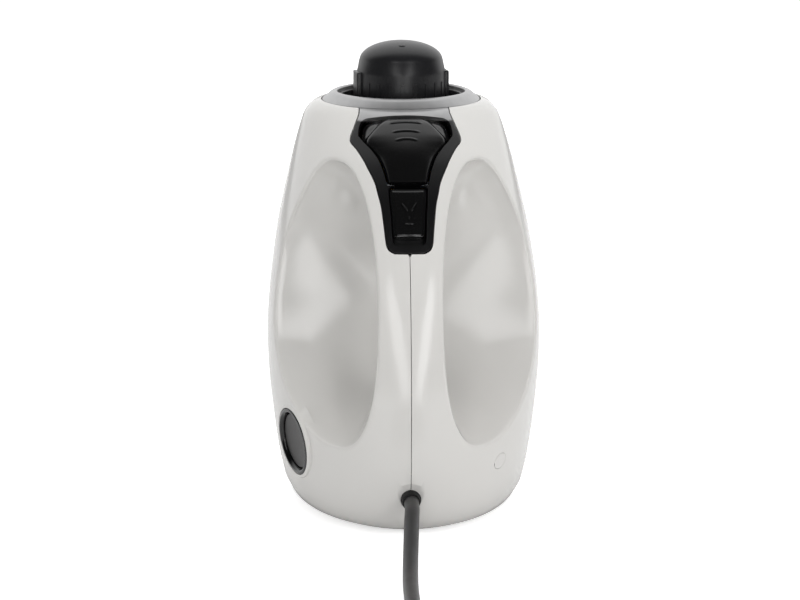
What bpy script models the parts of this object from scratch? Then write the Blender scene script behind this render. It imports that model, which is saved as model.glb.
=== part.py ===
# Handheld steam cleaner: two moulded shell halves with a loop handle, a small boiler and its
# steam valve, a thumb trigger with a child lock, a power button, a safety cap and a mains lead.
# +Z is up, +Y points to the nozzle, and the filler cap's axis is at x = y = 0. Metres.

import math

import bmesh
import bpy
from mathutils import Matrix, Vector

# Clearances
GAP = 0.0003
SLIDE_GAP = 0.0006
OVERRUN = 0.010
WELD_DISTANCE = 0.000015

# Body shell
BODY_BASE = 0.0012
BODY_TOP = 0.1949
HALF_WIDTH = 0.0674
REAR_REACH = 0.118
FRONT_REACH = 0.081
WIDEST_BACK = 0.027
SHELL_WALL = 0.0024
SEAM_GAP = 0.0003

# Finger opening and the scoops on both sides of the handle
SCOOP_MID_Z = 0.1087
SCOOP_HALF_HEIGHT = 0.0645
SCOOP_RIM_INSET = 0.0030
SCOOP_MID_X = 0.034
HANDLE_HALF_WIDTH = 0.0153
HANDLE_DEPTH = 0.035
OPENING_FRONT_BACK = 0.0455
OPENING_TOP = 0.1475
OPENING_BOTTOM = 0.0630
HANDLE_ROUNDING = 0.020
HANDLE_INNER_ROUNDING = 0.0085
SCOOP_FLATNESS = 0.024

# Collar and trigger frame
COLLAR_R = 0.0396
COLLAR_RIM_R = 0.0326
COLLAR_WELL_R = 0.0318
COLLAR_RISE = 0.0043
COLLAR_FLANGE = 0.0016
COLLAR_FLANGE_DROP = 0.0050
COLLAR_FLANGE_DEPTH = 0.0016
COLLAR_SKIRT = 0.0075
COLLAR_SHOULDER_SHARE = 0.35
COLLAR_SHOULDER_DROP = 0.0012
COLLAR_EDGE_DROP = 0.0006
FRAME_HALF_WIDTH = 0.0264
FRAME_BOTTOM_Z = 0.1362
FRAME_DEPTH = 0.0022
FRAME_POCKET_DEPTH = 0.0062
FRAME_OVERLAP = 0.0012
FRAME_STEP_SHARE = 0.44
FRAME_STEP_RUN_SHARE = 0.08

# Trigger
TRIGGER_TOP_SHARE = 0.0477
TRIGGER_BOTTOM_SHARE = 0.4889
TRIGGER_HALF_WIDTH = 0.0222
TRIGGER_DEPTH = 0.0028
TRIGGER_DOME = 0.0012
TRIGGER_TOP_GAP = 0.0016
TRIGGER_SIDE_GAP = 0.0009
TRIGGER_DOME_SHIFT_SHARE = 0.12
TRIGGER_WEB_HALF = 0.0062
PIN_INSET = 0.010346
PIN_SHARE = 0.5349
PIN_R = 0.0015
PIN_HALF_LENGTH = 0.0104
EAR_THICKNESS = 0.0020
EAR_R = 0.0034
EAR_ROOT_SHARE = 0.9
EAR_ROOT_DROP = 0.00544
HUB_ANGLES = tuple(math.radians(k) for k in range(150, 331, 30))
TRIGGER_NOSE_SHARE = 0.3475
TRIGGER_NOSE_HALF = 0.0014
TRIGGER_NOSE_REACH = 0.0110

# Child lock
LOCK_TOP_SHARE = 0.5264
LOCK_BOTTOM_SHARE = 0.8807
LOCK_HALF_WIDTH = 0.0088
LOCK_DEPTH = 0.0024
LOCK_RECESS = 0.0016
LOCK_TRAVEL_SHARE = 0.0511
LOCK_UNDER_GAP = 0.0009
LOCK_RIB_R = 0.0009
LOCK_RIB_HALF = 0.0034
LOCK_RIB_SHARE = 0.667

# Safety cap and the well that it stands in
CAP_R = 0.0219
CAP_CREASE_R = 0.0206
CAP_RISE = 0.0288
CAP_DOME_HEIGHT = 0.0095
CAP_SUNK = 0.0044
CAP_WALL = 0.0024
CAP_LUG_R = 0.0232
CAP_LUG_RISE = 0.0139
CAP_LUG_HALF = 0.0062
CAP_LUG_ANGLE = 8.0
CAP_RIB_COUNT = 16
CAP_RIB_HALF = 0.0008
CAP_RIB_RISE = 0.0005
CAP_RIB_CLEAR_ANGLE = 24.0
CAP_DOME_SHARES = (0.35, 0.62, 0.82, 0.94)
WELL_WALL = 0.0016
WELL_DEPTH = 0.0081
WELL_FLOOR = 0.0018
PLUG_R = 0.0105
PLUG_DEPTH = 0.0209
PLUG_HEAD_R = 0.0180
PLUG_HEAD = 0.0030
PLUG_BORE_R = 0.0045
PLUG_THREAD_TURNS = 3
PLUG_THREAD_RISE = 0.0008
SEAL_R = 0.0017
RELIEF_R = 0.0040
RELIEF_LENGTH = 0.0120
CAP_SPRING_R = 0.0062
CAP_SPRING_WIRE_R = 0.0005
CAP_SPRING_TURNS = 4

# Boiler
BOILER_R = 0.0350
BOILER_BOTTOM_Z = 0.0420
BOILER_JOINT_Z = 0.0980
BOILER_TOP_Z = 0.1500
BOILER_WALL = 0.0022
BOILER_FLANGE_R = 0.0392
BOILER_FLANGE = 0.0020
BOILER_ROUND = 0.0090
GASKET_THICKNESS = 0.0012
CLAMP_WALL = 0.0010
CLAMP_LIP = 0.0024
NECK_R = 0.0150
NECK_BORE_R = 0.0122
NECK_SUNK = 0.0085
NECK_FLANGE_R = 0.0190
NECK_FLANGE = 0.0020
ELEMENT_R = 0.0240
ELEMENT_TUBE_R = 0.0035
THERMOSTAT_R = 0.0085
THERMOSTAT_LENGTH = 0.0110
THERMOSTAT_Z = 0.0750
FUSE_R = 0.0035
FUSE_LENGTH = 0.0160
FUSE_Z = 0.1220
CRADLE_LEG_HALF = 0.0045
CRADLE_RING_WALL = 0.0030
CRADLE_RING_HEIGHT = 0.0080
CRADLE_LEG_COUNT = 3
CRADLE_LEG_TURN_SHARE = 0.75

# Steam valve, pipe and nozzle
VALVE_R = 0.0080
VALVE_CLEARANCE = 0.0150
VALVE_FRONT_BACK = 0.0230
STEM_R = 0.0020
STEM_BORE_R = 0.0023
STEM_COLLAR_R = 0.0036
STEM_COLLAR = 0.0014
STEM_INSIDE_SHARE = 0.727
STEM_END_GAP = 0.0012
STEM_STROKE = 0.0020
VALVE_SPRING_R = 0.0030
VALVE_SPRING_WIRE_R = 0.0005
VALVE_SPRING_TURNS = 4
RISER_R = 0.0030
RISER_INSET = 0.00833
RISER_BORE_GAP = 0.0003
PIPE_R = 0.0024
PIPE_SIDE = 0.0235
PIPE_DROP = 0.0045
PIPE_BEND_SHARES = (0.7, 0.4, 1.5)
SPOUT_Z = 0.1560
SPOUT_TIP = 0.1180
SPOUT_R = 0.0150
SPOUT_BORE_R = 0.0110
SPOUT_FLANGE_R = 0.0190
SPOUT_FLANGE = 0.0022
SPOUT_ROOT = 0.0500
SPOUT_LUG_COUNT = 3
SPOUT_LUG_HALF = 0.0030
SPOUT_LUG_RISE = 0.0016
SPOUT_LUG_INSET = 0.0060
JET_R = 0.0045
JET_BORE_R = 0.0010
JET_TIP_INSET = 0.0060
JET_BASE = 0.0600
JET_SEAL_R = 0.0016

# Power button
BUTTON_ANGLE = 1.035
BUTTON_Z = 0.0385
BEZEL_R = 0.0163
BEZEL_WALL = 0.0026
BEZEL_PROUD = 0.0006
BEZEL_FLOOR = 0.0016
BUTTON_DISH = 0.0008
BUTTON_DISH_SHARES = (0.6, 0.5)
BUTTON_FACE = 0.0022
BUTTON_SKIRT_WALL = 0.0016
BUTTON_DEPTH = 0.0060
BUTTON_RECESS = 0.0016
BUTTON_TRAVEL = 0.0020
BUTTON_SPRING_R = 0.0050
BUTTON_SPRING_WIRE_R = 0.0003
BUTTON_SPRING_TURNS = 3
SWITCH_HALF = 0.0070
SWITCH_DEPTH = 0.0100
SWITCH_PLUNGER_R = 0.0016
SWITCH_CLIP = 0.0020

# Terminal block and wires
TERMINAL_HALF = Vector((0.0110, 0.0060, 0.0055))
TERMINAL_INSET = 0.054255
WIRE_R = 0.0011
WIRE_PITCH = 0.0024
TERMINAL_PITCH = 0.0046
WIRE_STRAIGHT = 0.0030
WIRE_STEP = 0.0045
SWITCH_WIRE_SHARES = (0.35, 0.75)
THERMOSTAT_WIRE_INSET = 0.0040
THERMOSTAT_WIRE_BACK = 0.0420

# Shell screws: their sizes, and each one's place in the plane of the seam
SCREW_HEAD_R = 0.0030
SCREW_HEAD = 0.0022
SCREW_SHANK_R = 0.0014
SCREW_LENGTH = 0.0130
SCREW_SEAT = 0.0050
SCREW_BOSS_R = 0.0052
SCREW_ACCESS_R = 0.0039
REAR_SCREW_INSET = 0.0246
REAR_SCREW_Z = 0.0330
HANDLE_SCREW_INSET = 0.014455
HANDLE_SCREW_Z = 0.1130
FRONT_SCREW_INSET = 0.0300
FRONT_SCREW_Z = 0.0200
UPPER_SCREW_INSET = 0.0250
UPPER_SCREW_Z = 0.1300

# Feet
FOOT_R = 0.0060
FOOT_SPIGOT_R = 0.0022
FOOT_SPIGOT = 0.0036
FOOT_REAR = 0.0700
FOOT_FRONT = 0.0420
FOOT_SIDE = 0.0280

# Mains lead
CORD_R = 0.0035
CORD_Z = 0.0207
RELIEF_COLLAR_R = 0.0066
RELIEF_SLEEVE_R = 0.0046
RELIEF_TIP_R = 0.0042
RELIEF_INNER_LENGTH = 0.0200
RELIEF_OUTER_LENGTH = 0.0036
RELIEF_SEAT = 0.0041
RELIEF_LIP = 0.0016
CORD_INSIDE_INSET = 0.042255
CLAMP_HALF = Vector((0.0110, 0.0026, 0.0030))
CLAMP_INSET = 0.032755
CLAMP_SCREW_SIDE = 0.0078
CLAMP_SCREW_R = 0.0012
CLAMP_SCREW_LENGTH = 0.0130
CLAMP_HEAD_R = 0.0024
CLAMP_HEAD = 0.0016
CLAMP_POST_R = 0.0028
CLAMP_POST_DROP = 0.0008
COIL_CENTRE_X = -0.0089
COIL_CENTRE_BEHIND = 0.200145
COIL_START_ANGLE = 60.0
COIL_LAYERS = 2
COIL_TURNS = 4.46
COIL_PITCH = 0.0076
COIL_LAYER_RISE = 0.0075
COIL_INNER_R = 0.0325
COIL_CLIMB_PULL = 0.0016
COIL_POINTS_PER_TURN = 18
PLUG_BODY_R = 0.0105
PLUG_BODY_LENGTH = 0.0340
PLUG_TAIL_LENGTH = 0.0160
PLUG_TAIL_R = 0.0052
PLUG_TAIL_WIDE_R = 0.00676
PLUG_SHOULDER_R = 0.0089
PLUG_END_R = 0.00945
PLUG_PIN_R = 0.0024
PLUG_PIN_LENGTH = 0.0190
PLUG_PIN_SPACING = 0.0120

# Body outline, from the base up: height as a share of the body's; half width, rear reach and
# front reach as shares of what each size adds to the collar's radius; and the place of the
# widest line as a share of WIDEST_BACK
BODY_SHARES = (
    (0.0000, 0.2290, 0.7065, 0.5891, 1.0000),
    (0.0060, 0.4448, 0.7893, 0.7104, 1.0000),
    (0.0230, 0.6072, 0.8540, 0.8180, 1.0000),
    (0.0520, 0.7091, 0.9052, 0.8904, 1.0000),
    (0.1000, 0.7915, 0.9518, 0.9511, 1.0000),
    (0.1960, 0.8909, 0.9910, 0.9883, 1.0000),
    (0.3320, 0.9855, 1.0000, 1.0000, 1.0000),
    (0.4455, 1.0000, 0.9797, 0.9883, 1.0000),
    (0.5420, 0.9564, 0.9308, 0.9511, 0.9630),
    (0.6195, 0.8885, 0.8630, 0.9041, 0.8520),
    (0.7090, 0.7915, 0.7539, 0.8063, 0.6300),
    (0.8075, 0.6363, 0.5966, 0.6615, 0.3890),
    (0.8810, 0.5078, 0.4251, 0.5050, 0.2220),
    (0.9345, 0.3963, 0.2625, 0.3602, 0.0926),
    (0.9705, 0.3018, 0.1391, 0.2389, 0.0260),
    (0.9890, 0.1951, 0.0765, 0.1450, 0.0000),
    (0.9975, 0.0981, 0.0345, 0.0648, 0.0000),
)

# Trigger frame outline, from the collar down: drop and half width as shares of the frame's own
FRAME_SHARES = (
    (0.000, 0.815), (0.029, 0.825), (0.1175, 0.910), (0.2095, 0.996), (0.228, 1.000),
    (0.2845, 0.885), (0.361, 0.755), (0.404, 0.700), (0.463, 0.622), (0.5145, 0.568),
    (0.5655, 0.538), (0.659, 0.482), (0.8126, 0.436), (0.935, 0.402), (0.975, 0.360),
    (1.000, 0.255),
)

# Trigger pad outline, from its top down: drop and half width as shares of the pad's own
PAD_SHARES = (
    (0.000, 0.700), (0.030, 0.810), (0.080, 0.915), (0.190, 0.975), (0.290, 1.000),
    (0.375, 0.915), (0.490, 0.745), (0.625, 0.600), (0.820, 0.490), (1.000, 0.430),
)
PAD_ROW_SHARES = (0.24, 0.43, 0.56, 0.72, 0.91)

# Child lock outline, from its top down
LOCK_SHARES = ((0.000, 1.000), (0.500, 0.910), (1.000, 0.835))
LOCK_ROW_SHARES = (0.0, 0.25, 0.5, 0.75, 1.0)
LOCK_COLUMNS = 4
PLATE_COLUMNS = 8

# Rows of the body's mesh between the base edge and the collar, and rings round each scoop
ROW_SHARES = (0.0, 0.03, 0.10, 0.22, 0.38, 0.54, 0.68, 0.80, 0.90, 0.965, 1.0)
RING_SHARES = (0.0, 0.40, 0.80, 1.0)
SIDE_COLUMNS = 5
FRONT_COLUMNS = 5
TUNNEL_STEPS = 4
SCOOP_SQUARENESS = 2.4
SIDE_ANGLE = 1.80

# The lead's route from the shell to the coil, chosen by hand: across, behind the skin, height
CORD_ROUTE = (
    (0.0, -0.042255, 0.0207), (0.0, -0.024255, 0.0207), (0.0, -0.004255, 0.0207),
    (0.0, 0.011745, 0.0204), (-0.0006, 0.021745, 0.0190), (-0.0014, 0.033745, 0.0145),
    (-0.0022, 0.045745, 0.0090), (-0.0029, 0.058745, 0.0050), (-0.0034, 0.072745, 0.0037),
    (-0.0036, 0.087745, 0.0036), (-0.0035, 0.103745, 0.0036), (-0.0023, 0.117745, 0.0036),
    (0.0018, 0.128245, 0.0036), (0.0080, 0.136545, 0.0036),
)
CORD_STEP_SHARE = 2.4
ROUTE_PARTS = 12
RIM_STEPS = 720

# Sides of turned pieces
SIDES = 20
FINE_SIDES = 32
BUTTON_SIDES = 28
SPOUT_SIDES = 24
SMALL_SIDES = 16
PIN_SIDES = 12
BOSS_SIDES = 10
SCREW_SIDES = 8

# Nodes whose many cuts the exact solver leaves open
MANIFOLD_NODES = ("shell_left", "shell_right", "collar_frame")


def linear(value):
    return value / 12.92 if value <= 0.04045 else ((value + 0.055) / 1.055) ** 2.4


def material(name, hex_colour, roughness, metallic=0.0):
    red, green, blue = (linear(int(hex_colour[k:k + 2], 16) / 255) for k in (0, 2, 4))
    result = bpy.data.materials.new(name)
    result.use_nodes = True
    shader = result.node_tree.nodes["Principled BSDF"]
    shader.inputs["Base Color"].default_value = (red, green, blue, 1.0)
    shader.inputs["Roughness"].default_value = roughness
    shader.inputs["Metallic"].default_value = metallic
    result.diffuse_color = (red, green, blue, 1.0)
    return result


def clear_scene():
    for item in list(bpy.data.objects):
        bpy.data.objects.remove(item, do_unlink=True)


def add_object(name, mesh, surface=None, sharp_angle=35.0):
    result = bpy.data.objects.new(name, mesh)
    bpy.context.scene.collection.objects.link(result)
    if surface:
        mesh.materials.append(surface)
        mesh.shade_smooth()
        mesh.set_sharp_from_angle(angle=math.radians(sharp_angle))
    else:
        result.hide_render = True
        result.display_type = "WIRE"
    return result


def mesh_from(name, points, faces):
    mesh = bpy.data.meshes.new(name)
    mesh.from_pydata([tuple(point) for point in points], [], faces)
    body = bmesh.new()
    body.from_mesh(mesh)
    bmesh.ops.recalc_face_normals(body, faces=body.faces[:])
    body.to_mesh(mesh)
    body.free()
    return mesh


def boolean(target, other, operation):
    step = target.modifiers.new(other.name, "BOOLEAN")
    step.operation = operation
    step.solver = "MANIFOLD" if target.name in MANIFOLD_NODES else "EXACT"
    step.object = other


def cut(target, *others):
    for other in others:
        boolean(target, other, "DIFFERENCE")


def join(target, *others):
    for other in others:
        boolean(target, other, "UNION")


def weld(target):
    """Closes the hair-thin slivers that a long stack of cuts leaves."""
    step = target.modifiers.new("weld", "WELD")
    step.merge_threshold = WELD_DISTANCE


def turned(name, profile, surface=None, count=SIDES, closed=True, place=None):
    """A turned solid round Z from (radius, height) points; a closed profile leaves a bore."""
    points = []
    rings = []
    for radius, height in profile:
        if radius == 0:
            rings.append([len(points)] * count)
            points.append(Vector((0, 0, height)))
            continue
        rings.append(list(range(len(points), len(points) + count)))
        for k in range(count):
            angle = math.tau * k / count
            points.append(Vector((radius * math.cos(angle), radius * math.sin(angle), height)))
    faces = []
    pairs = list(zip(rings, rings[1:]))
    if closed:
        pairs.append((rings[-1], rings[0]))
    for low, high in pairs:
        for k in range(count):
            after = (k + 1) % count
            corners = (low[k], low[after], high[after], high[k])
            unique = list(dict.fromkeys(corners))
            if len(unique) > 2:
                faces.append(unique)
    if place:
        points = [place @ point for point in points]
    return add_object(name, mesh_from(name, points, faces), surface)


def rod(name, radius, low, high, surface=None, count=SMALL_SIDES, place=None):
    profile = ((0, low), (radius, low), (radius, high), (0, high))
    return turned(name, profile, surface, count, False, place)


def ring(name, inner, outer, low, high, surface=None, count=SIDES, place=None):
    profile = ((inner, low), (outer, low), (outer, high), (inner, high))
    return turned(name, profile, surface, count, True, place)


def box(name, low, high, surface=None, place=None):
    points = [Vector((x, y, z)) for x in (low[0], high[0]) for y in (low[1], high[1])
              for z in (low[2], high[2])]
    if place:
        points = [place @ point for point in points]
    faces = [(0, 1, 3, 2), (4, 6, 7, 5), (0, 4, 5, 1), (2, 3, 7, 6), (0, 2, 6, 4), (1, 5, 7, 3)]
    return add_object(name, mesh_from(name, points, faces), surface)


def prism(name, outline, half, surface=None):
    """A flat solid across X, from (back, height) points in the plane of the seam."""
    count = len(outline)
    points = [Vector((side * half, -back, height)) for side in (-1, 1) for back, height in outline]
    faces = [tuple(range(count)), tuple(range(count, count * 2))]
    faces += [(k, (k + 1) % count, count + (k + 1) % count, count + k) for k in range(count)]
    return add_object(name, mesh_from(name, points, faces), surface)


def tube(name, points, radius, surface, resolution=2):
    curve = bpy.data.curves.new(name, "CURVE")
    curve.dimensions = "3D"
    curve.bevel_depth = radius
    curve.bevel_resolution = resolution
    curve.use_fill_caps = True
    line = curve.splines.new("POLY")
    line.points.add(len(points) - 1)
    for slot, point in zip(line.points, points):
        slot.co = (point[0], point[1], point[2], 1.0)
    line.use_smooth = True
    curve.materials.append(surface)
    result = bpy.data.objects.new(name, curve)
    bpy.context.scene.collection.objects.link(result)
    return result


def along(axis, origin):
    """A placing matrix whose Z is the given axis."""
    turn = Vector((0, 0, 1)).rotation_difference(Vector(axis)).to_matrix().to_4x4()
    return Matrix.Translation(Vector(origin)) @ turn


def smooth_route(route, step):
    """Evenly spaced points on the smooth curve through the route's own points."""
    points = [Vector(point) for point in route]
    fine = []
    for k in range(len(points) - 1):
        before = points[max(k - 1, 0)]
        start, end = points[k], points[k + 1]
        after = points[min(k + 2, len(points) - 1)]
        for part in range(ROUTE_PARTS):
            t = part / ROUTE_PARTS
            fine.append(0.5 * (2 * start + (end - before) * t
                               + (2 * before - 5 * start + 4 * end - after) * t * t
                               + (3 * start - before - 3 * end + after) * t ** 3))
    fine.append(points[-1])
    total = sum((b - a).length for a, b in zip(fine, fine[1:]))
    count = max(2, round(total / step))
    spaced = [fine[0]]
    passed = 0.0
    for a, b in zip(fine, fine[1:]):
        length = (b - a).length
        while len(spaced) < count and passed + length >= total * len(spaced) / count:
            spaced.append(a.lerp(b, (total * len(spaced) / count - passed) / length))
        passed += length
    spaced.append(fine[-1])
    return spaced, total


def route_with_ends(start, leaving, middle, end, arriving, straight, step):
    """A smooth route whose two ends run straight for a short way."""
    first = Vector(start) + Vector(leaving).normalized() * straight
    last = Vector(end) - Vector(arriving).normalized() * straight
    points, _ = smooth_route([first] + [Vector(point) for point in middle] + [last], step)
    return [Vector(start)] + points + [Vector(end)]


def beyond_collar(share, size):
    return COLLAR_R + share * (size - COLLAR_R)


def body_rows():
    rows = []
    for height, width, rear, front, widest in BODY_SHARES:
        rows.append((BODY_BASE + height * (BODY_TOP - BODY_BASE), beyond_collar(width, HALF_WIDTH),
                     beyond_collar(rear, REAR_REACH), beyond_collar(front, FRONT_REACH),
                     widest * WIDEST_BACK))
    rows.append((BODY_TOP, COLLAR_R, COLLAR_R, COLLAR_R, 0.0))
    return rows


def row_places(rows):
    places = [0.0]
    for a, b in zip(rows, rows[1:]):
        places.append(places[-1] + math.dist(a[:3], b[:3]))
    return [place / places[-1] for place in places]


def body_row(v):
    """Height, half width, rear reach, front reach and widest line at share v of the side."""
    last = len(ROWS) - 1
    k = next((i for i in range(last - 1, -1, -1) if PLACES[i] <= v), 0)
    span = PLACES[k + 1] - PLACES[k]
    t = (v - PLACES[k]) / span
    low, high = max(k - 1, 0), min(k + 2, last)
    result = []
    for before, start, end, after in zip(ROWS[low], ROWS[k], ROWS[k + 1], ROWS[high]):
        slope = (end - before) / (PLACES[k + 1] - PLACES[low]) * span
        slope_after = (after - start) / (PLACES[high] - PLACES[k]) * span
        result.append((2 * t ** 3 - 3 * t * t + 1) * start + (t ** 3 - 2 * t * t + t) * slope
                      + (3 * t * t - 2 * t ** 3) * end + (t ** 3 - t * t) * slope_after)
    return result


def body_point(u, v):
    """A point of the outer skin: u goes round from the handle's ridge, v up from the base."""
    height, width, rear, front, widest = body_row(v)
    reach = rear - widest if math.cos(u) > 0 else front + widest
    return Vector((width * math.sin(u), -widest - reach * math.cos(u), height))


def body_share(height):
    low, high = 0.0, 1.0
    for _ in range(40):
        middle = (low + high) / 2
        if body_row(middle)[0] < height:
            low = middle
        else:
            high = middle
    return (low + high) / 2


def body_normal(u, v):
    step = 1e-3
    low, high = max(v - step, 0), min(v + step, 1)
    across = body_point(u + step, v) - body_point(u - step, v)
    upward = body_point(u, high) - body_point(u, low)
    return across.cross(upward).normalized()


def on_back(x, v):
    width = body_row(v)[1]
    return math.asin(max(-1.0, min(1.0, x / width)))


def ridge(height, depth=0.0):
    v = body_share(height)
    return body_point(0, v) - depth * body_normal(0, v)


def front_line(height):
    return body_point(math.pi, body_share(height))


def squircle(angle):
    c, s = math.cos(angle), math.sin(angle)
    size = (abs(c) ** SCOOP_SQUARENESS + abs(s) ** SCOOP_SQUARENESS) ** (-1 / SCOOP_SQUARENESS)
    return c * size, s * size


def scoop_rim(angle):
    """The scoop's rim on the outer skin, as u and v, for the +X side."""
    c, s = squircle(angle)
    v = body_share(SCOOP_MID_Z + SCOOP_HALF_HEIGHT * s)
    width = body_row(v)[1]
    reach = width - SCOOP_RIM_INSET - SCOOP_MID_X if c > 0 else SCOOP_MID_X - HANDLE_HALF_WIDTH
    return on_back(SCOOP_MID_X + reach * c, v), v


def opening_edge(angle):
    """The finger opening's edge in the plane of the seam."""
    c, s = squircle(angle)
    middle = (OPENING_TOP + OPENING_BOTTOM) / 2
    height = middle + (OPENING_TOP - OPENING_BOTTOM) / 2 * s
    handle = -body_point(0, body_share(height)).y - HANDLE_DEPTH
    centre = (handle + OPENING_FRONT_BACK) / 2
    reach = centre - OPENING_FRONT_BACK if c > 0 else handle - centre
    return Vector((0, -(centre - reach * c), height))


def tunnel_point(angle, t):
    """A point of the scoop's wall, t from its rim to the plane of the seam."""
    start = body_point(*scoop_rim(angle))
    end = opening_edge(angle)
    handle = (1 - squircle(angle)[0]) / 2
    handle = min(max(handle, 0), 1)
    leave = (end - start) / 3 * (1 - handle) + Vector((0, HANDLE_ROUNDING, 0)) * handle
    arrive = SCOOP_FLATNESS * (1 - handle) + HANDLE_INNER_ROUNDING * handle
    first = start + leave
    second = end + Vector((arrive, 0, 0))
    return ((1 - t) ** 3 * start + 3 * t * (1 - t) ** 2 * first
            + 3 * t * t * (1 - t) * second + t ** 3 * end)


def rim_samples():
    """Corners of the mesh round one scoop, with the scoop angle that each one faces."""
    centre_u, centre_v = scoop_rim(math.pi / 2)[0], body_share(SCOOP_MID_Z)
    around = [math.tau * k / RIM_STEPS for k in range(RIM_STEPS)]
    facing = []
    for angle in around:
        u, v = scoop_rim(angle)
        facing.append((math.atan2(v - centre_v, u - centre_u) % math.tau, angle))
    facing.sort()
    corners = [(0.0, v) for v in ROW_SHARES[:-1]]
    corners += [(SIDE_ANGLE * k / SIDE_COLUMNS, 1.0) for k in range(SIDE_COLUMNS)]
    corners += [(SIDE_ANGLE, v) for v in ROW_SHARES[:0:-1]]
    corners += [(SIDE_ANGLE * k / SIDE_COLUMNS, 0.0) for k in range(SIDE_COLUMNS, 0, -1)]
    samples = []
    for u, v in corners:
        wanted = math.atan2(v - centre_v, u - centre_u) % math.tau
        nearest = min(facing, key=lambda pair: abs(pair[0] - wanted))
        samples.append((u, v, nearest[1]))
    return samples


def skin_side(points, faces, side):
    def add_grid(grid, wrap):
        first = len(points)
        across = len(grid[0])
        for line in grid:
            points.extend(Vector((side * p.x, p.y, p.z)) for p in line)
        for row in range(len(grid) - 1):
            for k in range(across if wrap else across - 1):
                a, b = first + row * across + k, first + row * across + (k + 1) % across
                faces.append((a, b, b + across, a + across))

    samples = rim_samples()
    rings = []
    for share in RING_SHARES:
        line = []
        for u, v, angle in samples:
            rim_u, rim_v = scoop_rim(angle)
            line.append(body_point(rim_u + (u - rim_u) * share, rim_v + (v - rim_v) * share))
        rings.append(line)
    add_grid(rings, True)
    walls = [[tunnel_point(angle, k / TUNNEL_STEPS) for _, _, angle in samples]
             for k in range(TUNNEL_STEPS + 1)]
    add_grid(walls, True)
    columns = [SIDE_ANGLE + (math.pi - SIDE_ANGLE) * k / FRONT_COLUMNS
               for k in range(FRONT_COLUMNS + 1)]
    add_grid([[body_point(u, v) for u in columns] for v in ROW_SHARES], False)


def skin_mesh():
    """The outer skin of the whole body, with its finger opening and its open top."""
    points, faces = [], []
    for side in (-1, 1):
        skin_side(points, faces, side)
    mesh = mesh_from("body_skin", points, faces)
    body = bmesh.new()
    body.from_mesh(mesh)
    bmesh.ops.remove_doubles(body, verts=body.verts[:], dist=GAP / 10)
    base = [edge for edge in body.edges if edge.is_boundary
            and all(abs(v.co.z - BODY_BASE) < GAP for v in edge.verts)]
    floor = bmesh.ops.contextual_create(body, geom=base)["faces"]
    bmesh.ops.inset_individual(body, faces=floor, thickness=REAR_REACH / 8)
    bmesh.ops.triangulate(body, faces=floor)
    bmesh.ops.dissolve_degenerate(body, dist=GAP / 10, edges=body.edges[:])
    bmesh.ops.recalc_face_normals(body, faces=body.faces[:])
    lowest = min(body.faces, key=lambda face: face.calc_center_median().z)
    if lowest.normal.z > 0:
        bmesh.ops.reverse_faces(body, faces=body.faces[:])
    body.to_mesh(mesh)
    body.free()
    return mesh


def outline_at(shares, drop, half_width):
    for (low, first), (high, second) in zip(shares, shares[1:]):
        if drop <= high:
            t = (drop - low) / (high - low)
            return half_width * (first + (second - first) * t)
    return half_width * shares[-1][1]


def back_plate(name, top, bottom, half_width, shares, outer, inner, surface=None, grow=0.0,
               drops=None, columns=PLATE_COLUMNS, reach_in=0.0):
    """A plate that follows the ridge; outer and inner give its two faces' depths."""
    height = top - bottom
    drops = drops or [share for share, _ in shares]
    high_v = body_share(top + grow) if top + grow < BODY_TOP else 1.0
    rows = []
    for drop in drops:
        level = top - drop * height + grow * (1 - 2 * drop)
        v = min(body_share(level), high_v) if level < BODY_TOP else 1.0
        rows.append((drop, v, outline_at(shares, drop, half_width) + grow))
    lines = [[], []]
    for index, (drop, v, half) in enumerate(rows):
        for face, depth in enumerate((outer, inner)):
            line = []
            for k in range(columns + 1):
                across = 2 * k / columns - 1
                u = on_back(across * half, v)
                point = body_point(u, v) - depth(drop, across) * body_normal(u, v)
                if index == 0 and reach_in:
                    point = point + Vector((0, reach_in, 0))
                line.append(point)
            lines[face].append(line)
    points = [point for face in lines for line in face for point in line]
    across = columns + 1
    total = across * len(rows)
    faces = []
    for row in range(len(rows) - 1):
        for k in range(columns):
            a = row * across + k
            faces.append((a, a + 1, a + across + 1, a + across))
            faces.append((total + a, total + a + across, total + a + across + 1, total + a + 1))
        for k in (0, columns):
            a = row * across + k
            faces.append((a, a + across, total + a + across, total + a))
    for start in (0, total - across):
        for k in range(columns):
            a = start + k
            faces.append((a, a + 1, total + a + 1, total + a))
    return add_object(name, mesh_from(name, points, faces), surface)


def flat(depth):
    return lambda drop, across: depth


def skin_x(back, height):
    """Half width of the outer skin at a place in the plane of the seam."""
    _, width, rear, front, widest = body_row(body_share(height))
    reach = (back - widest) / (rear - widest if back > widest else front + widest)
    return width * math.sqrt(max(0.0, 1 - reach * reach))


def frame_z(drop):
    return BODY_TOP - drop * (BODY_TOP - FRAME_BOTTOM_Z)


ROWS = body_rows()
PLACES = row_places(ROWS)
BUTTON_V = body_share(BUTTON_Z)
BUTTON_CENTRE = body_point(-BUTTON_ANGLE, BUTTON_V)
BUTTON_NORMAL = body_normal(-BUTTON_ANGLE, BUTTON_V)
BUTTON_PLACE = along(BUTTON_NORMAL, BUTTON_CENTRE)

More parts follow.
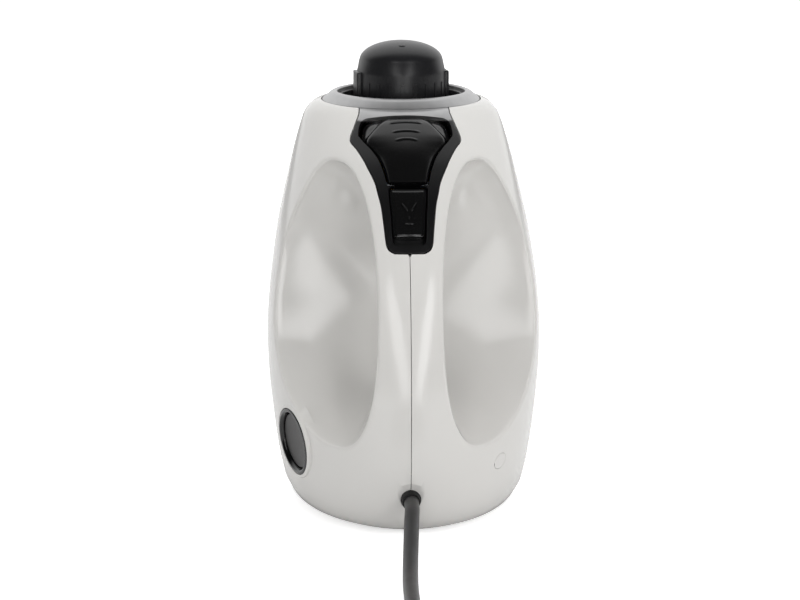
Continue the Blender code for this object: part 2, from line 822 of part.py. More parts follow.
# Places that follow the collar, the frame and the skin
COLLAR_RIM_Z = BODY_TOP + COLLAR_RISE
COLLAR_SKIRT_Z = BODY_TOP - COLLAR_SKIRT
CAP_TOP_Z = BODY_TOP + CAP_RISE
CAP_CREASE_Z = CAP_TOP_Z - CAP_DOME_HEIGHT
CAP_BOTTOM_Z = BODY_TOP - CAP_SUNK
CAP_LUG_TOP_Z = BODY_TOP + CAP_LUG_RISE
WELL_FLOOR_Z = BODY_TOP - WELL_DEPTH
PLUG_BOTTOM_Z = BODY_TOP - PLUG_DEPTH
NECK_TOP_Z = BODY_TOP - NECK_SUNK
TRIGGER_TOP_Z = frame_z(TRIGGER_TOP_SHARE)
TRIGGER_BOTTOM_Z = frame_z(TRIGGER_BOTTOM_SHARE)
TRIGGER_NOSE_Z = frame_z(TRIGGER_NOSE_SHARE)
PIPE_Z = TRIGGER_NOSE_Z - PIPE_DROP
LOCK_TOP_Z = frame_z(LOCK_TOP_SHARE)
LOCK_BOTTOM_Z = frame_z(LOCK_BOTTOM_SHARE)
LOCK_TRAVEL = LOCK_TRAVEL_SHARE * (BODY_TOP - FRAME_BOTTOM_Z)
PIN_Z = frame_z(PIN_SHARE)
PIN = ridge(PIN_Z) + Vector((0, PIN_INSET, 0))
TRIGGER_NOSE_BACK = -PIN.y - TRIGGER_NOSE_REACH
VALVE_BACK = TRIGGER_NOSE_BACK - VALVE_CLEARANCE
STEM_INSIDE = STEM_INSIDE_SHARE * (VALVE_BACK - VALVE_FRONT_BACK)
SKIN_BACK = -ridge(CORD_Z).y
TERMINAL_BACK = SKIN_BACK - TERMINAL_INSET
CLAMP_BACK = SKIN_BACK - CLAMP_INSET
CORD_INSIDE_END = SKIN_BACK - CORD_INSIDE_INSET
HANDLE_SCREW = ridge(HANDLE_SCREW_Z) + Vector((0, HANDLE_SCREW_INSET, 0))
REAR_SCREW = ridge(REAR_SCREW_Z) + Vector((0, REAR_SCREW_INSET, 0))
FRONT_SCREW = front_line(FRONT_SCREW_Z) - Vector((0, FRONT_SCREW_INSET, 0))
UPPER_SCREW = front_line(UPPER_SCREW_Z) - Vector((0, UPPER_SCREW_INSET, 0))


def make_materials():
    return {
        "shell": material("white_abs", "e4e1dd", 0.22),
        "collar": material("satin_silver_paint", "8c8c8e", 0.38, 0.6),
        "black": material("black_abs", "141415", 0.25),
        "satin_black": material("satin_black_plastic", "26272a", 0.45),
        "grey": material("grey_disc_plastic", "5f5e5d", 0.50),
        "rubber": material("black_rubber", "1b1b1c", 0.75),
        "cord": material("pvc_cord", "4a4547", 0.45),
        "aluminium": material("cast_aluminium", "b8b9ba", 0.45, 1.0),
        "steel": material("zinc_steel", "a9abad", 0.35, 1.0),
        "brass": material("brass", "c7a24f", 0.32, 1.0),
        "silicone": material("red_silicone", "a5402e", 0.60),
        "copper_wire": material("pvc_wire", "7c8fa6", 0.45),
        "nylon": material("natural_nylon", "d9d4c3", 0.50),
    }


def shell_cutters():
    back = along((0, -1, 0), (0, 0, CORD_Z))
    front = along((0, 1, 0), (0, 0, SPOUT_Z))
    cutters = [
        back_plate("frame_cutout", BODY_TOP, FRAME_BOTTOM_Z, FRAME_HALF_WIDTH, FRAME_SHARES,
                   flat(-OVERRUN / 2), flat(OVERRUN), None, GAP, None, PLATE_COLUMNS, OVERRUN),
        rod("collar_hole", COLLAR_R, BODY_TOP - OVERRUN, BODY_TOP + OVERRUN, None, FINE_SIDES),
        rod("relief_hole", RELIEF_SLEEVE_R + GAP, REAR_REACH - OVERRUN * 2, REAR_REACH + OVERRUN,
            None, SPOUT_SIDES, back),
        rod("spout_hole", SPOUT_R + GAP, SPOUT_ROOT - OVERRUN, FRONT_REACH + OVERRUN, None, SPOUT_SIDES,
            front),
        rod("bezel_hole", BEZEL_R + GAP, -OVERRUN * 2, OVERRUN, None, FINE_SIDES, BUTTON_PLACE),
    ]
    for index, (x, y) in enumerate(foot_places()):
        cutters.append(rod("foot_hole_%d" % (index + 1), FOOT_SPIGOT_R + GAP, -OVERRUN, OVERRUN, None,
                           SCREW_SIDES, along((0, 0, 1), (x, y, 0))))
    return cutters


def foot_places():
    return [(side * FOOT_SIDE, y) for y in (-FOOT_REAR, FOOT_FRONT) for side in (-1, 1)]


def screw_places():
    places = []
    for spot in (REAR_SCREW, FRONT_SCREW, HANDLE_SCREW, UPPER_SCREW):
        side = min(skin_x(-spot.y + k * SCREW_BOSS_R, spot.z + j * SCREW_BOSS_R)
                   for k in (-1, 1) for j in (-1, 1)) - SHELL_WALL / 3
        if spot is HANDLE_SCREW:
            side = HANDLE_HALF_WIDTH - SHELL_WALL / 2
        places.append((spot, side))
    return places


def make_shells(looks):
    """Both halves: each is the whole wall with its bosses and holes, cut along the seam."""
    mesh = skin_mesh()
    cutters = shell_cutters()
    bosses = []
    bores = []
    pilot = SCREW_LENGTH - SCREW_SEAT - SCREW_HEAD + GAP
    for index, (spot, outer) in enumerate(screw_places()):
        place = along((1, 0, 0), spot)
        label = "screw_%d" % (index + 1)
        bosses.append(rod(label + "_boss", SCREW_BOSS_R, -outer, outer, None, BOSS_SIDES, place))
        bores.append(rod(label + "_access", SCREW_ACCESS_R, SCREW_SEAT, HALF_WIDTH * 2, None, BOSS_SIDES,
                         place))
        bores.append(rod(label + "_bore", SCREW_SHANK_R + GAP, -pilot, SCREW_SEAT * 2, None, SCREW_SIDES,
                         place))
    posts, post_bores = clamp_posts()
    span = 2 * (REAR_REACH + HALF_WIDTH)
    seam = SEAM_GAP / 2
    for name, side in (("shell_left", -1), ("shell_right", 1)):
        shell = add_object(name, mesh.copy(), looks["shell"])
        wall = shell.modifiers.new("wall", "SOLIDIFY")
        wall.thickness = SHELL_WALL
        wall.offset = -1.0
        wall.use_even_offset = True
        join(shell, *bosses, *posts)
        cut(shell, *bores, *post_bores)
        cut(shell, *cutters)
        low = (-span, -span, -span) if side > 0 else (-seam, -span, -span)
        high = (seam, span, span) if side > 0 else (span, span, span)
        cut(shell, box(name + "_seam", low, high))
        weld(shell)
    for index, (spot, _) in enumerate(screw_places()):
        seat = SCREW_SEAT + GAP
        profile = ((0, seat + SCREW_HEAD), (SCREW_HEAD_R, seat + SCREW_HEAD),
                   (SCREW_HEAD_R, seat), (SCREW_SHANK_R, seat),
                   (SCREW_SHANK_R, seat + SCREW_HEAD - SCREW_LENGTH),
                   (0, seat + SCREW_HEAD - SCREW_LENGTH))
        turned("shell_screw_%d" % (index + 1), profile, looks["steel"], SCREW_SIDES, False,
               along((1, 0, 0), spot))


def make_collar(looks):
    lip = COLLAR_R - GAP
    under = BODY_TOP - COLLAR_FLANGE_DROP
    shoulder = COLLAR_RIM_R + (lip - COLLAR_RIM_R) * COLLAR_SHOULDER_SHARE
    profile = ((lip, BODY_TOP), (shoulder, COLLAR_RIM_Z - COLLAR_SHOULDER_DROP),
               (COLLAR_RIM_R, COLLAR_RIM_Z), (COLLAR_WELL_R, COLLAR_RIM_Z - COLLAR_EDGE_DROP),
               (COLLAR_WELL_R, COLLAR_SKIRT_Z), (lip - FRAME_DEPTH, COLLAR_SKIRT_Z),
               (lip - FRAME_DEPTH, under - COLLAR_FLANGE_DEPTH),
               (lip + COLLAR_FLANGE, under - COLLAR_FLANGE_DEPTH), (lip + COLLAR_FLANGE, under),
               (lip, under))
    collar = turned("collar_frame", profile, looks["collar"], FINE_SIDES)

    def back_depth(drop, across):
        blend = min(max((drop - FRAME_STEP_SHARE) / FRAME_STEP_RUN_SHARE, 0.0), 1.0)
        return FRAME_DEPTH + (FRAME_POCKET_DEPTH - FRAME_DEPTH) * blend

    drops = sorted({share for share, _ in FRAME_SHARES}
                   | {FRAME_STEP_SHARE + FRAME_STEP_RUN_SHARE * k / 2 for k in range(3)})
    plate = back_plate("frame_plate", BODY_TOP, FRAME_BOTTOM_Z, FRAME_HALF_WIDTH, FRAME_SHARES,
                       flat(0.0), back_depth, None, 0.0, drops, PLATE_COLUMNS, FRAME_OVERLAP)
    opening = back_plate("trigger_opening", TRIGGER_TOP_Z + TRIGGER_TOP_GAP / 2,
                         TRIGGER_BOTTOM_Z - SLIDE_GAP * 3, TRIGGER_HALF_WIDTH + TRIGGER_SIDE_GAP,
                         PAD_SHARES, flat(-OVERRUN / 2), flat(OVERRUN))
    pocket = back_plate("lock_pocket", LOCK_TOP_Z + SLIDE_GAP, LOCK_BOTTOM_Z - LOCK_TRAVEL - SLIDE_GAP,
                        LOCK_HALF_WIDTH + SLIDE_GAP, LOCK_SHARES, flat(-OVERRUN / 2),
                        flat(LOCK_RECESS + LOCK_DEPTH + LOCK_UNDER_GAP))
    join(collar, plate)
    cut(collar, opening, pocket)
    for side in (-1, 1):
        inner = TRIGGER_WEB_HALF + SLIDE_GAP
        outline = hub_arc()
        high = ridge(PIN.z + EAR_R, FRAME_POCKET_DEPTH * EAR_ROOT_SHARE)
        low = ridge(PIN.z - EAR_ROOT_DROP, FRAME_POCKET_DEPTH * EAR_ROOT_SHARE)
        outline += [(-low.y, low.z), (-high.y, high.z)]
        ear = prism("ear_%s" % ("left" if side < 0 else "right"), outline, EAR_THICKNESS / 2)
        ear.location.x = side * (inner + EAR_THICKNESS / 2)
        join(collar, ear)
    cut(collar, rod("pin_bore", PIN_R + GAP, -PIN_HALF_LENGTH * 2, PIN_HALF_LENGTH * 2, None,
                    SMALL_SIDES, along((1, 0, 0), PIN)))


def hub_arc():
    """The round end that the trigger's web and the frame's two ears share."""
    return [(-PIN.y + EAR_R * math.cos(angle), PIN.z + EAR_R * math.sin(angle)) for angle in HUB_ANGLES]


def make_trigger(looks):
    def dome(drop, across):
        lift = math.sin(math.pi * min(1.0, drop + TRIGGER_DOME_SHIFT_SHARE))
        return -TRIGGER_DOME * (1 - across * across) * lift

    drops = sorted({share for share, _ in PAD_SHARES} | set(PAD_ROW_SHARES))
    pad = back_plate("trigger", TRIGGER_TOP_Z - TRIGGER_TOP_GAP / 2, TRIGGER_BOTTOM_Z,
                     TRIGGER_HALF_WIDTH - SLIDE_GAP / 2, PAD_SHARES, dome, flat(TRIGGER_DEPTH),
                     looks["black"], 0.0, drops)
    high = ridge(TRIGGER_NOSE_Z + EAR_R, TRIGGER_DEPTH / 2)
    low = ridge(TRIGGER_BOTTOM_Z + EAR_R / 2, TRIGGER_DEPTH / 2)
    outline = [(-high.y, high.z), (TRIGGER_NOSE_BACK, TRIGGER_NOSE_Z + TRIGGER_NOSE_HALF),
               (TRIGGER_NOSE_BACK, TRIGGER_NOSE_Z - TRIGGER_NOSE_HALF)]
    outline += hub_arc()
    outline.append((-low.y, low.z))
    web = prism("trigger_web", outline, TRIGGER_WEB_HALF)
    join(pad, web)
    place = along((1, 0, 0), PIN)
    cut(pad, rod("trigger_bore", PIN_R + GAP, -PIN_HALF_LENGTH, PIN_HALF_LENGTH, None, SMALL_SIDES, place))
    rod("trigger_pin", PIN_R, -PIN_HALF_LENGTH, PIN_HALF_LENGTH, looks["steel"], SMALL_SIDES, place)


def make_lock(looks):
    lock = back_plate("child_lock", LOCK_TOP_Z, LOCK_BOTTOM_Z, LOCK_HALF_WIDTH, LOCK_SHARES,
                      flat(LOCK_RECESS), flat(LOCK_RECESS + LOCK_DEPTH), looks["black"], 0.0,
                      LOCK_ROW_SHARES, LOCK_COLUMNS)
    middle = ridge(LOCK_TOP_Z + (LOCK_BOTTOM_Z - LOCK_TOP_Z) * LOCK_RIB_SHARE, LOCK_RECESS)
    join(lock, rod("lock_rib", LOCK_RIB_R, -LOCK_RIB_HALF, LOCK_RIB_HALF, None, PIN_SIDES,
                   along((1, 0, 0), middle)))


def make_cap(looks):
    wall = CAP_R - CAP_WALL
    profile = [(0, CAP_TOP_Z)]
    dome = CAP_TOP_Z - CAP_CREASE_Z
    for share in CAP_DOME_SHARES:
        profile.append((CAP_CREASE_R * share, CAP_CREASE_Z + dome * math.sqrt(1 - share * share)))
    profile += [(CAP_CREASE_R, CAP_CREASE_Z), (CAP_R, CAP_LUG_TOP_Z), (CAP_R, CAP_BOTTOM_Z),
                (wall, CAP_BOTTOM_Z), (wall, CAP_CREASE_Z - CAP_WALL), (0, CAP_CREASE_Z - CAP_WALL)]
    knob = turned("cap_knob", profile, looks["satin_black"], FINE_SIDES, False)
    low = CAP_BOTTOM_Z + CAP_WALL
    for k in range(CAP_RIB_COUNT):
        angle = math.tau * (k + 0.5) / CAP_RIB_COUNT
        place = Matrix.Rotation(angle, 4, "Z")
        if abs(math.cos(angle)) < math.cos(math.radians(CAP_RIB_CLEAR_ANGLE)):
            join(knob, box("cap_rib_%d" % k, (wall + CAP_WALL / 2, -CAP_RIB_HALF, low),
                           (CAP_R + CAP_RIB_RISE, CAP_RIB_HALF, CAP_LUG_TOP_Z - CAP_WALL), None, place))
    for side in (0, 180):
        place = Matrix.Rotation(math.radians(side + CAP_LUG_ANGLE), 4, "Z")
        join(knob, box("cap_lug_%d" % side, (wall + CAP_WALL / 2, -CAP_LUG_HALF, CAP_BOTTOM_Z),
                       (CAP_LUG_R, CAP_LUG_HALF, CAP_LUG_TOP_Z), None, place))
    seat = NECK_TOP_Z + SEAL_R * 2 + GAP * 2
    thread = []
    steps = PLUG_THREAD_TURNS * 2
    thread_top = NECK_TOP_Z - PLUG_THREAD_RISE
    for k in range(steps + 1):
        height = thread_top - (thread_top - PLUG_BOTTOM_Z - PLUG_THREAD_RISE) * k / steps
        thread.append((PLUG_R + (PLUG_THREAD_RISE if k % 2 else 0), height))
    profile = [(PLUG_BORE_R, seat + PLUG_HEAD), (PLUG_HEAD_R, seat + PLUG_HEAD), (PLUG_HEAD_R, seat),
               (PLUG_R, seat)] + thread
    profile += [(PLUG_R, PLUG_BOTTOM_Z), (PLUG_BORE_R, PLUG_BOTTOM_Z)]
    turned("cap_plug", profile, looks["brass"], SMALL_SIDES)
    seal = [(PLUG_R + GAP + SEAL_R * (1 + math.cos(a)), NECK_TOP_Z + GAP + SEAL_R * (1 + math.sin(a)))
            for a in (math.tau * k / 6 for k in range(6))]
    turned("cap_seal", seal, looks["silicone"], SMALL_SIDES)
    relief_low = PLUG_BOTTOM_Z + SEAL_R
    profile = ((0, relief_low), (PLUG_BORE_R - GAP, relief_low), (PLUG_BORE_R - GAP, seat + PLUG_HEAD),
               (RELIEF_R / 2, seat + PLUG_HEAD), (RELIEF_R / 2, seat + PLUG_HEAD + RELIEF_LENGTH),
               (0, seat + PLUG_HEAD + RELIEF_LENGTH))
    turned("relief_valve", profile, looks["steel"], SMALL_SIDES, False)
    spring_low = seat + PLUG_HEAD + GAP + CAP_SPRING_WIRE_R
    spring_high = CAP_CREASE_Z - CAP_WALL - GAP - CAP_SPRING_WIRE_R
    spring("cap_spring", CAP_SPRING_R, CAP_SPRING_WIRE_R, CAP_SPRING_TURNS, spring_low, spring_high,
           looks["steel"], Matrix.Identity(4))
    well = COLLAR_WELL_R - GAP
    profile = ((well, COLLAR_RIM_Z - CAP_WALL), (well, WELL_FLOOR_Z),
               (NECK_R + GAP, WELL_FLOOR_Z), (NECK_R + GAP, WELL_FLOOR_Z + WELL_FLOOR),
               (well - WELL_WALL, WELL_FLOOR_Z + WELL_FLOOR), (well - WELL_WALL, COLLAR_RIM_Z - CAP_WALL))
    turned("cap_well", profile, looks["satin_black"])


def spring(name, radius, wire, turns, low, high, surface, place):
    points = []
    steps = turns * 8
    for k in range(steps + 1):
        angle = math.tau * turns * k / steps
        height = low + (high - low) * k / steps
        points.append(place @ Vector((radius * math.cos(angle), radius * math.sin(angle), height)))
    return tube(name, points, wire, surface, 0)


def make_boiler(looks):
    out, thick = BOILER_R, BOILER_WALL
    inner = out - thick
    turn = BOILER_ROUND
    low, joint, top = BOILER_BOTTOM_Z, BOILER_JOINT_Z, BOILER_TOP_Z
    flange = BOILER_FLANGE_R

    def corner(radius, centre_z, start, size, sign):
        return [(radius - turn + size * math.cos(a), centre_z + sign * size * math.sin(a))
                for a in (math.radians(start * k / 3) for k in range(4))]

    outer = corner(out, low + turn, 90, turn, -1)[::-1]
    inside = corner(out, low + turn, 90, turn - thick, -1)
    profile = [(0, low)] + outer + [(out, joint - BOILER_FLANGE), (flange, joint - BOILER_FLANGE),
                                    (flange, joint), (inner, joint)] + inside + [(0, low + thick)]
    turned("boiler_lower", profile, looks["aluminium"], SIDES, False)
    ring("boiler_gasket", inner + GAP, flange - GAP, joint + GAP, joint + GAP + GASKET_THICKNESS,
         looks["silicone"])
    base = joint + GASKET_THICKNESS + GAP * 2
    outer = corner(out, top - turn, 90, turn, 1)
    inside = corner(out, top - turn, 90, turn - thick, 1)[::-1]
    bore = NECK_BORE_R
    profile = [(inner, base), (flange, base), (flange, base + BOILER_FLANGE), (out, base + BOILER_FLANGE)]
    profile += outer + [(bore, top), (bore, top - thick)] + inside
    upper = turned("boiler_upper", profile, looks["aluminium"])
    lip_low = joint - BOILER_FLANGE - GAP
    lip_high = base + BOILER_FLANGE + GAP
    wall = flange + GAP
    profile = ((wall, lip_low), (flange - CLAMP_LIP, lip_low), (flange - CLAMP_LIP, lip_low - CLAMP_WALL),
               (wall + CLAMP_WALL, lip_low - CLAMP_WALL), (wall + CLAMP_WALL, lip_high + CLAMP_WALL),
               (flange - CLAMP_LIP, lip_high + CLAMP_WALL), (flange - CLAMP_LIP, lip_high),
               (wall, lip_high))
    turned("boiler_clamp", profile, looks["steel"])
    seat = top + GAP
    profile = ((bore, seat), (NECK_FLANGE_R, seat), (NECK_FLANGE_R, seat + NECK_FLANGE),
               (NECK_R, seat + NECK_FLANGE), (NECK_R, NECK_TOP_Z), (bore, NECK_TOP_Z))
    turned("filler_neck", profile, looks["brass"])
    centre_z = low - GAP - ELEMENT_TUBE_R
    rim = [(ELEMENT_R + ELEMENT_TUBE_R * math.cos(a), centre_z + ELEMENT_TUBE_R * math.sin(a))
           for a in (math.tau * k / 8 for k in range(8))]
    turned("heating_element", rim, looks["steel"])
    side = along((-1, 0, 0), (0, 0, THERMOSTAT_Z))
    rod("thermostat", THERMOSTAT_R, out + GAP, out + GAP + THERMOSTAT_LENGTH, looks["nylon"], SIDES, side)
    fuse = along((0, 0, 1), (out + GAP + FUSE_R, 0, FUSE_Z))
    rod("thermal_fuse", FUSE_R, -FUSE_LENGTH / 2, FUSE_LENGTH / 2, looks["steel"], PIN_SIDES, fuse)
    ring_low = BOILER_BOTTOM_Z + BOILER_ROUND
    ring_r = out + GAP
    cradle = ring("boiler_cradle", ring_r, ring_r + CRADLE_RING_WALL, ring_low,
                  ring_low + CRADLE_RING_HEIGHT, looks["nylon"])
    foot = BODY_BASE + SHELL_WALL + GAP
    for k in range(CRADLE_LEG_COUNT):
        angle = math.tau * (k + CRADLE_LEG_TURN_SHARE) / CRADLE_LEG_COUNT
        place = Matrix.Rotation(angle, 4, "Z")
        join(cradle, box("cradle_leg_%d" % k, (ring_r + GAP, -CRADLE_LEG_HALF, foot),
                         (ring_r + CRADLE_RING_WALL - GAP, CRADLE_LEG_HALF, ring_low + GAP), None, place))
    return upper


def make_valve(looks, upper):
    nose = TRIGGER_NOSE_Z
    back = along((0, -1, 0), (0, 0, nose))
    profile = ((STEM_BORE_R, VALVE_BACK), (VALVE_R, VALVE_BACK), (VALVE_R, VALVE_FRONT_BACK),
               (0, VALVE_FRONT_BACK), (0, VALVE_BACK - STEM_INSIDE - STEM_END_GAP),
               (STEM_BORE_R, VALVE_BACK - STEM_INSIDE - STEM_END_GAP))
    turned("steam_valve", profile, looks["brass"], SMALL_SIDES, True, back)
    riser_y = -VALVE_FRONT_BACK - RISER_INSET
    riser_low = BOILER_TOP_Z - BOILER_WALL - VALVE_R / 2
    hole = rod("riser_hole", RISER_R + RISER_BORE_GAP, BOILER_TOP_Z - OVERRUN, BOILER_TOP_Z + OVERRUN,
               None, SMALL_SIDES, along((0, 0, 1), (0, riser_y, 0)))
    cut(upper, hole)
    rod("riser_pipe", RISER_R, riser_low, nose - VALVE_R - GAP, looks["brass"], SMALL_SIDES,
        along((0, 0, 1), (0, riser_y, 0)))
    tip = TRIGGER_NOSE_BACK - GAP
    collar_high = tip - STEM_COLLAR
    collar_low = collar_high - STEM_COLLAR
    stem_end = VALVE_BACK - STEM_INSIDE + STEM_STROKE
    profile = ((0, stem_end), (STEM_R, stem_end), (STEM_R, collar_low), (STEM_COLLAR_R, collar_low),
               (STEM_COLLAR_R, collar_high), (STEM_R, collar_high), (STEM_R, tip), (0, tip))
    turned("valve_stem", profile, looks["steel"], SMALL_SIDES, False, back)
    spring("valve_spring", VALVE_SPRING_R, VALVE_SPRING_WIRE_R, VALVE_SPRING_TURNS,
           VALVE_BACK + GAP + VALVE_SPRING_WIRE_R, collar_low - STEM_COLLAR - VALVE_SPRING_WIRE_R * 2,
           looks["steel"], back)
    start = Vector((VALVE_R + GAP, -(VALVE_BACK + VALVE_FRONT_BACK) / 2, PIPE_Z + STEM_COLLAR_R))
    end = Vector((0, JET_BASE - GAP, SPOUT_Z))
    rear_share, side_share, front_share = PIPE_BEND_SHARES
    middle = [Vector((PIPE_SIDE, -VALVE_FRONT_BACK * rear_share, PIPE_Z + STEM_COLLAR_R / 2)),
              Vector((PIPE_SIDE, VALVE_FRONT_BACK, PIPE_Z)),
              Vector((PIPE_SIDE * side_share, SPOUT_ROOT - VALVE_R * front_share, (PIPE_Z + SPOUT_Z) / 2)),
              Vector((0, SPOUT_ROOT - PIPE_R, SPOUT_Z))]
    straight = PIPE_R * 2
    tube("steam_pipe", route_with_ends(start, (1, 0, 0), middle, end, (0, 1, 0), straight, PIPE_R * 3),
         PIPE_R, looks["nylon"], 1)


def make_spout(looks):
    front = along((0, 1, 0), (0, 0, SPOUT_Z))
    wall = [(SPOUT_BORE_R, SPOUT_ROOT), (SPOUT_FLANGE_R, SPOUT_ROOT),
            (SPOUT_FLANGE_R, SPOUT_ROOT + SPOUT_FLANGE), (SPOUT_R, SPOUT_ROOT + SPOUT_FLANGE),
            (SPOUT_R, SPOUT_TIP - SPOUT_LUG_RISE), (SPOUT_R - SPOUT_LUG_RISE, SPOUT_TIP),
            (SPOUT_BORE_R, SPOUT_TIP), (SPOUT_BORE_R, JET_BASE + SPOUT_FLANGE * 2),
            (JET_R + GAP, JET_BASE + SPOUT_FLANGE * 2), (JET_R + GAP, JET_BASE),
            (SPOUT_BORE_R, JET_BASE)]
    spout = turned("nozzle_spout", wall, looks["satin_black"], SPOUT_SIDES, True, front)
    for k in range(SPOUT_LUG_COUNT):
        place = front @ Matrix.Rotation(math.tau * k / SPOUT_LUG_COUNT, 4, "Z")
        start = SPOUT_TIP - SPOUT_LUG_INSET - SPOUT_LUG_HALF
        join(spout, box("spout_lug_%d" % k, (SPOUT_R - SPOUT_LUG_RISE, -SPOUT_LUG_HALF, start),
                        (SPOUT_R + SPOUT_LUG_RISE, SPOUT_LUG_HALF, start + SPOUT_LUG_HALF), None, place))
    tip = SPOUT_TIP - JET_TIP_INSET
    seat = JET_BASE + SPOUT_FLANGE * 2
    profile = ((JET_BORE_R, JET_BASE), (JET_R, JET_BASE), (JET_R, tip - JET_R),
               (JET_R / 2, tip), (JET_BORE_R, tip))
    turned("steam_jet", profile, looks["brass"], SIDES, True, front)
    seal = [(JET_R + GAP + JET_SEAL_R * (1 + math.cos(a)), seat + GAP + JET_SEAL_R * (1 + math.sin(a)))
            for a in (math.tau * k / 6 for k in range(6))]
    turned("jet_seal", seal, looks["rubber"], SMALL_SIDES, True, front)


def make_button(looks):
    inner = BEZEL_R - BEZEL_WALL
    top = -BUTTON_RECESS
    face = inner - SLIDE_GAP / 2
    skirt = face - BUTTON_SKIRT_WALL
    bottom = top - BUTTON_DEPTH
    floor_top = bottom - BUTTON_TRAVEL - GAP
    floor_low = floor_top - BEZEL_FLOOR
    hole = SWITCH_PLUNGER_R + GAP
    profile = ((inner, BEZEL_PROUD - BEZEL_WALL / 3), (inner + BEZEL_WALL / 2, BEZEL_PROUD),
               (BEZEL_R, 0.0), (BEZEL_R, floor_low), (hole, floor_low), (hole, floor_top),
               (inner, floor_top))
    bezel = turned("button_bezel", profile, looks["black"], BUTTON_SIDES, True, BUTTON_PLACE)
    reach, depth = BUTTON_DISH_SHARES
    profile = ((0, top - BUTTON_DISH), (face * reach, top - BUTTON_DISH * depth), (face, top),
               (face, bottom), (skirt, bottom), (skirt, top - BUTTON_FACE), (0, top - BUTTON_FACE))
    turned("power_button", profile, looks["grey"], BUTTON_SIDES, False, BUTTON_PLACE)
    pressed = top - BUTTON_FACE - BUTTON_TRAVEL - GAP
    spring("button_spring", BUTTON_SPRING_R, BUTTON_SPRING_WIRE_R, BUTTON_SPRING_TURNS,
           floor_top + GAP + BUTTON_SPRING_WIRE_R, pressed - BUTTON_SPRING_WIRE_R, looks["steel"],
           BUTTON_PLACE)
    switch_top = floor_low - GAP
    switch_low = switch_top - SWITCH_DEPTH
    switch = box("power_switch", (-SWITCH_HALF, -SWITCH_HALF, switch_low),
                 (SWITCH_HALF, SWITCH_HALF, switch_top), looks["nylon"], BUTTON_PLACE)
    join(switch, rod("switch_plunger", SWITCH_PLUNGER_R, switch_top - GAP, pressed, None, PIN_SIDES,
                     BUTTON_PLACE))
    for side in (-1, 1):
        near, far = SWITCH_HALF + GAP, SWITCH_HALF + GAP + SWITCH_CLIP
        low = (min(side * near, side * far), -SWITCH_HALF / 2, switch_low)
        high = (max(side * near, side * far), SWITCH_HALF / 2, floor_low + BEZEL_FLOOR / 2)
        join(bezel, box("switch_clip_%d" % (side + 2), low, high, None, BUTTON_PLACE))


def make_wiring(looks):
    half = TERMINAL_HALF
    centre = Vector((0, -TERMINAL_BACK, BODY_BASE + SHELL_WALL + SLIDE_GAP + half.z))
    box("terminal_block", centre - half, centre + half, looks["nylon"])
    top = centre.z + half.z + GAP
    for k, name in enumerate(("core_live", "core_earth", "core_neutral")):
        side = k - 1
        start = Vector((side * WIRE_PITCH, -CORD_INSIDE_END + GAP, CORD_Z))
        end = Vector((side * TERMINAL_PITCH, -TERMINAL_BACK, top))
        middle = [Vector((side * TERMINAL_PITCH, -TERMINAL_BACK - WIRE_STRAIGHT, CORD_Z - WIRE_R))]
        wire(name, start, (0, 1, 0), middle, end, (0, 0, -1), looks["copper_wire"])
    switch_back = -(BUTTON_RECESS + BUTTON_DEPTH + BUTTON_TRAVEL + BEZEL_FLOOR + SWITCH_DEPTH + GAP * 3)
    end = BUTTON_PLACE @ Vector((0, 0, switch_back))
    start = Vector((-half.x - GAP, centre.y - half.y / 2, centre.z))
    first, second = SWITCH_WIRE_SHARES
    middle = [start.lerp(end, first) - Vector((0, 0, half.z)),
              start.lerp(end, second) - Vector((0, 0, half.y))]
    wire("wire_switch", start, (-1, 0, 0), middle, end, BUTTON_NORMAL, looks["copper_wire"])
    low = BOILER_BOTTOM_Z - GAP * 2 - ELEMENT_TUBE_R * 2
    start = Vector((half.x + GAP, centre.y, centre.z))
    end = Vector((ELEMENT_R, 0, low))
    middle = [Vector((ELEMENT_R, -BOILER_R, start.z + half.z)), Vector((ELEMENT_R, -BOILER_R / 2, low / 2))]
    wire("wire_element", start, (1, 0, 0), middle, end, (0, 0, 1), looks["copper_wire"])
    start = Vector((-half.x - GAP, centre.y + half.y / 2, centre.z))
    end = Vector((THERMOSTAT_WIRE_INSET - BOILER_R - THERMOSTAT_LENGTH, 0,
                  THERMOSTAT_Z - THERMOSTAT_R - GAP))
    middle = [Vector((-BOILER_R, -THERMOSTAT_WIRE_BACK, BOILER_BOTTOM_Z / 2)),
              Vector((end.x, -BOILER_R / 2, BOILER_BOTTOM_Z))]
    wire("wire_thermostat", start, (-1, 0, 0), middle, end, (0, 0, 1), looks["copper_wire"])


def wire(name, start, leaving, middle, end, arriving, surface):
    route = route_with_ends(start, leaving, middle, end, arriving, WIRE_STRAIGHT, WIRE_STEP)
    return tube(name, route, WIRE_R, surface, 0)


def clamp_posts():
    """The two posts under the cord clamp, and the bores for its screws."""
    posts = []
    bores = []
    for index, side in enumerate((-1, 1)):
        place = along((0, 0, 1), (side * CLAMP_SCREW_SIDE, -CLAMP_BACK, 0))
        top = CORD_Z - CLAMP_POST_DROP
        screw_low = CORD_Z + CLAMP_HALF.z * 2 - CLAMP_SCREW_LENGTH
        posts.append(rod("clamp_post_%d" % (index + 1), CLAMP_POST_R, BODY_BASE + SHELL_WALL / 2, top,
                         None, SCREW_SIDES, place))
        bores.append(rod("clamp_post_bore_%d" % (index + 1), CLAMP_SCREW_R + GAP, screw_low - GAP,
                         CORD_Z, None, SCREW_SIDES, place))
    return posts, bores


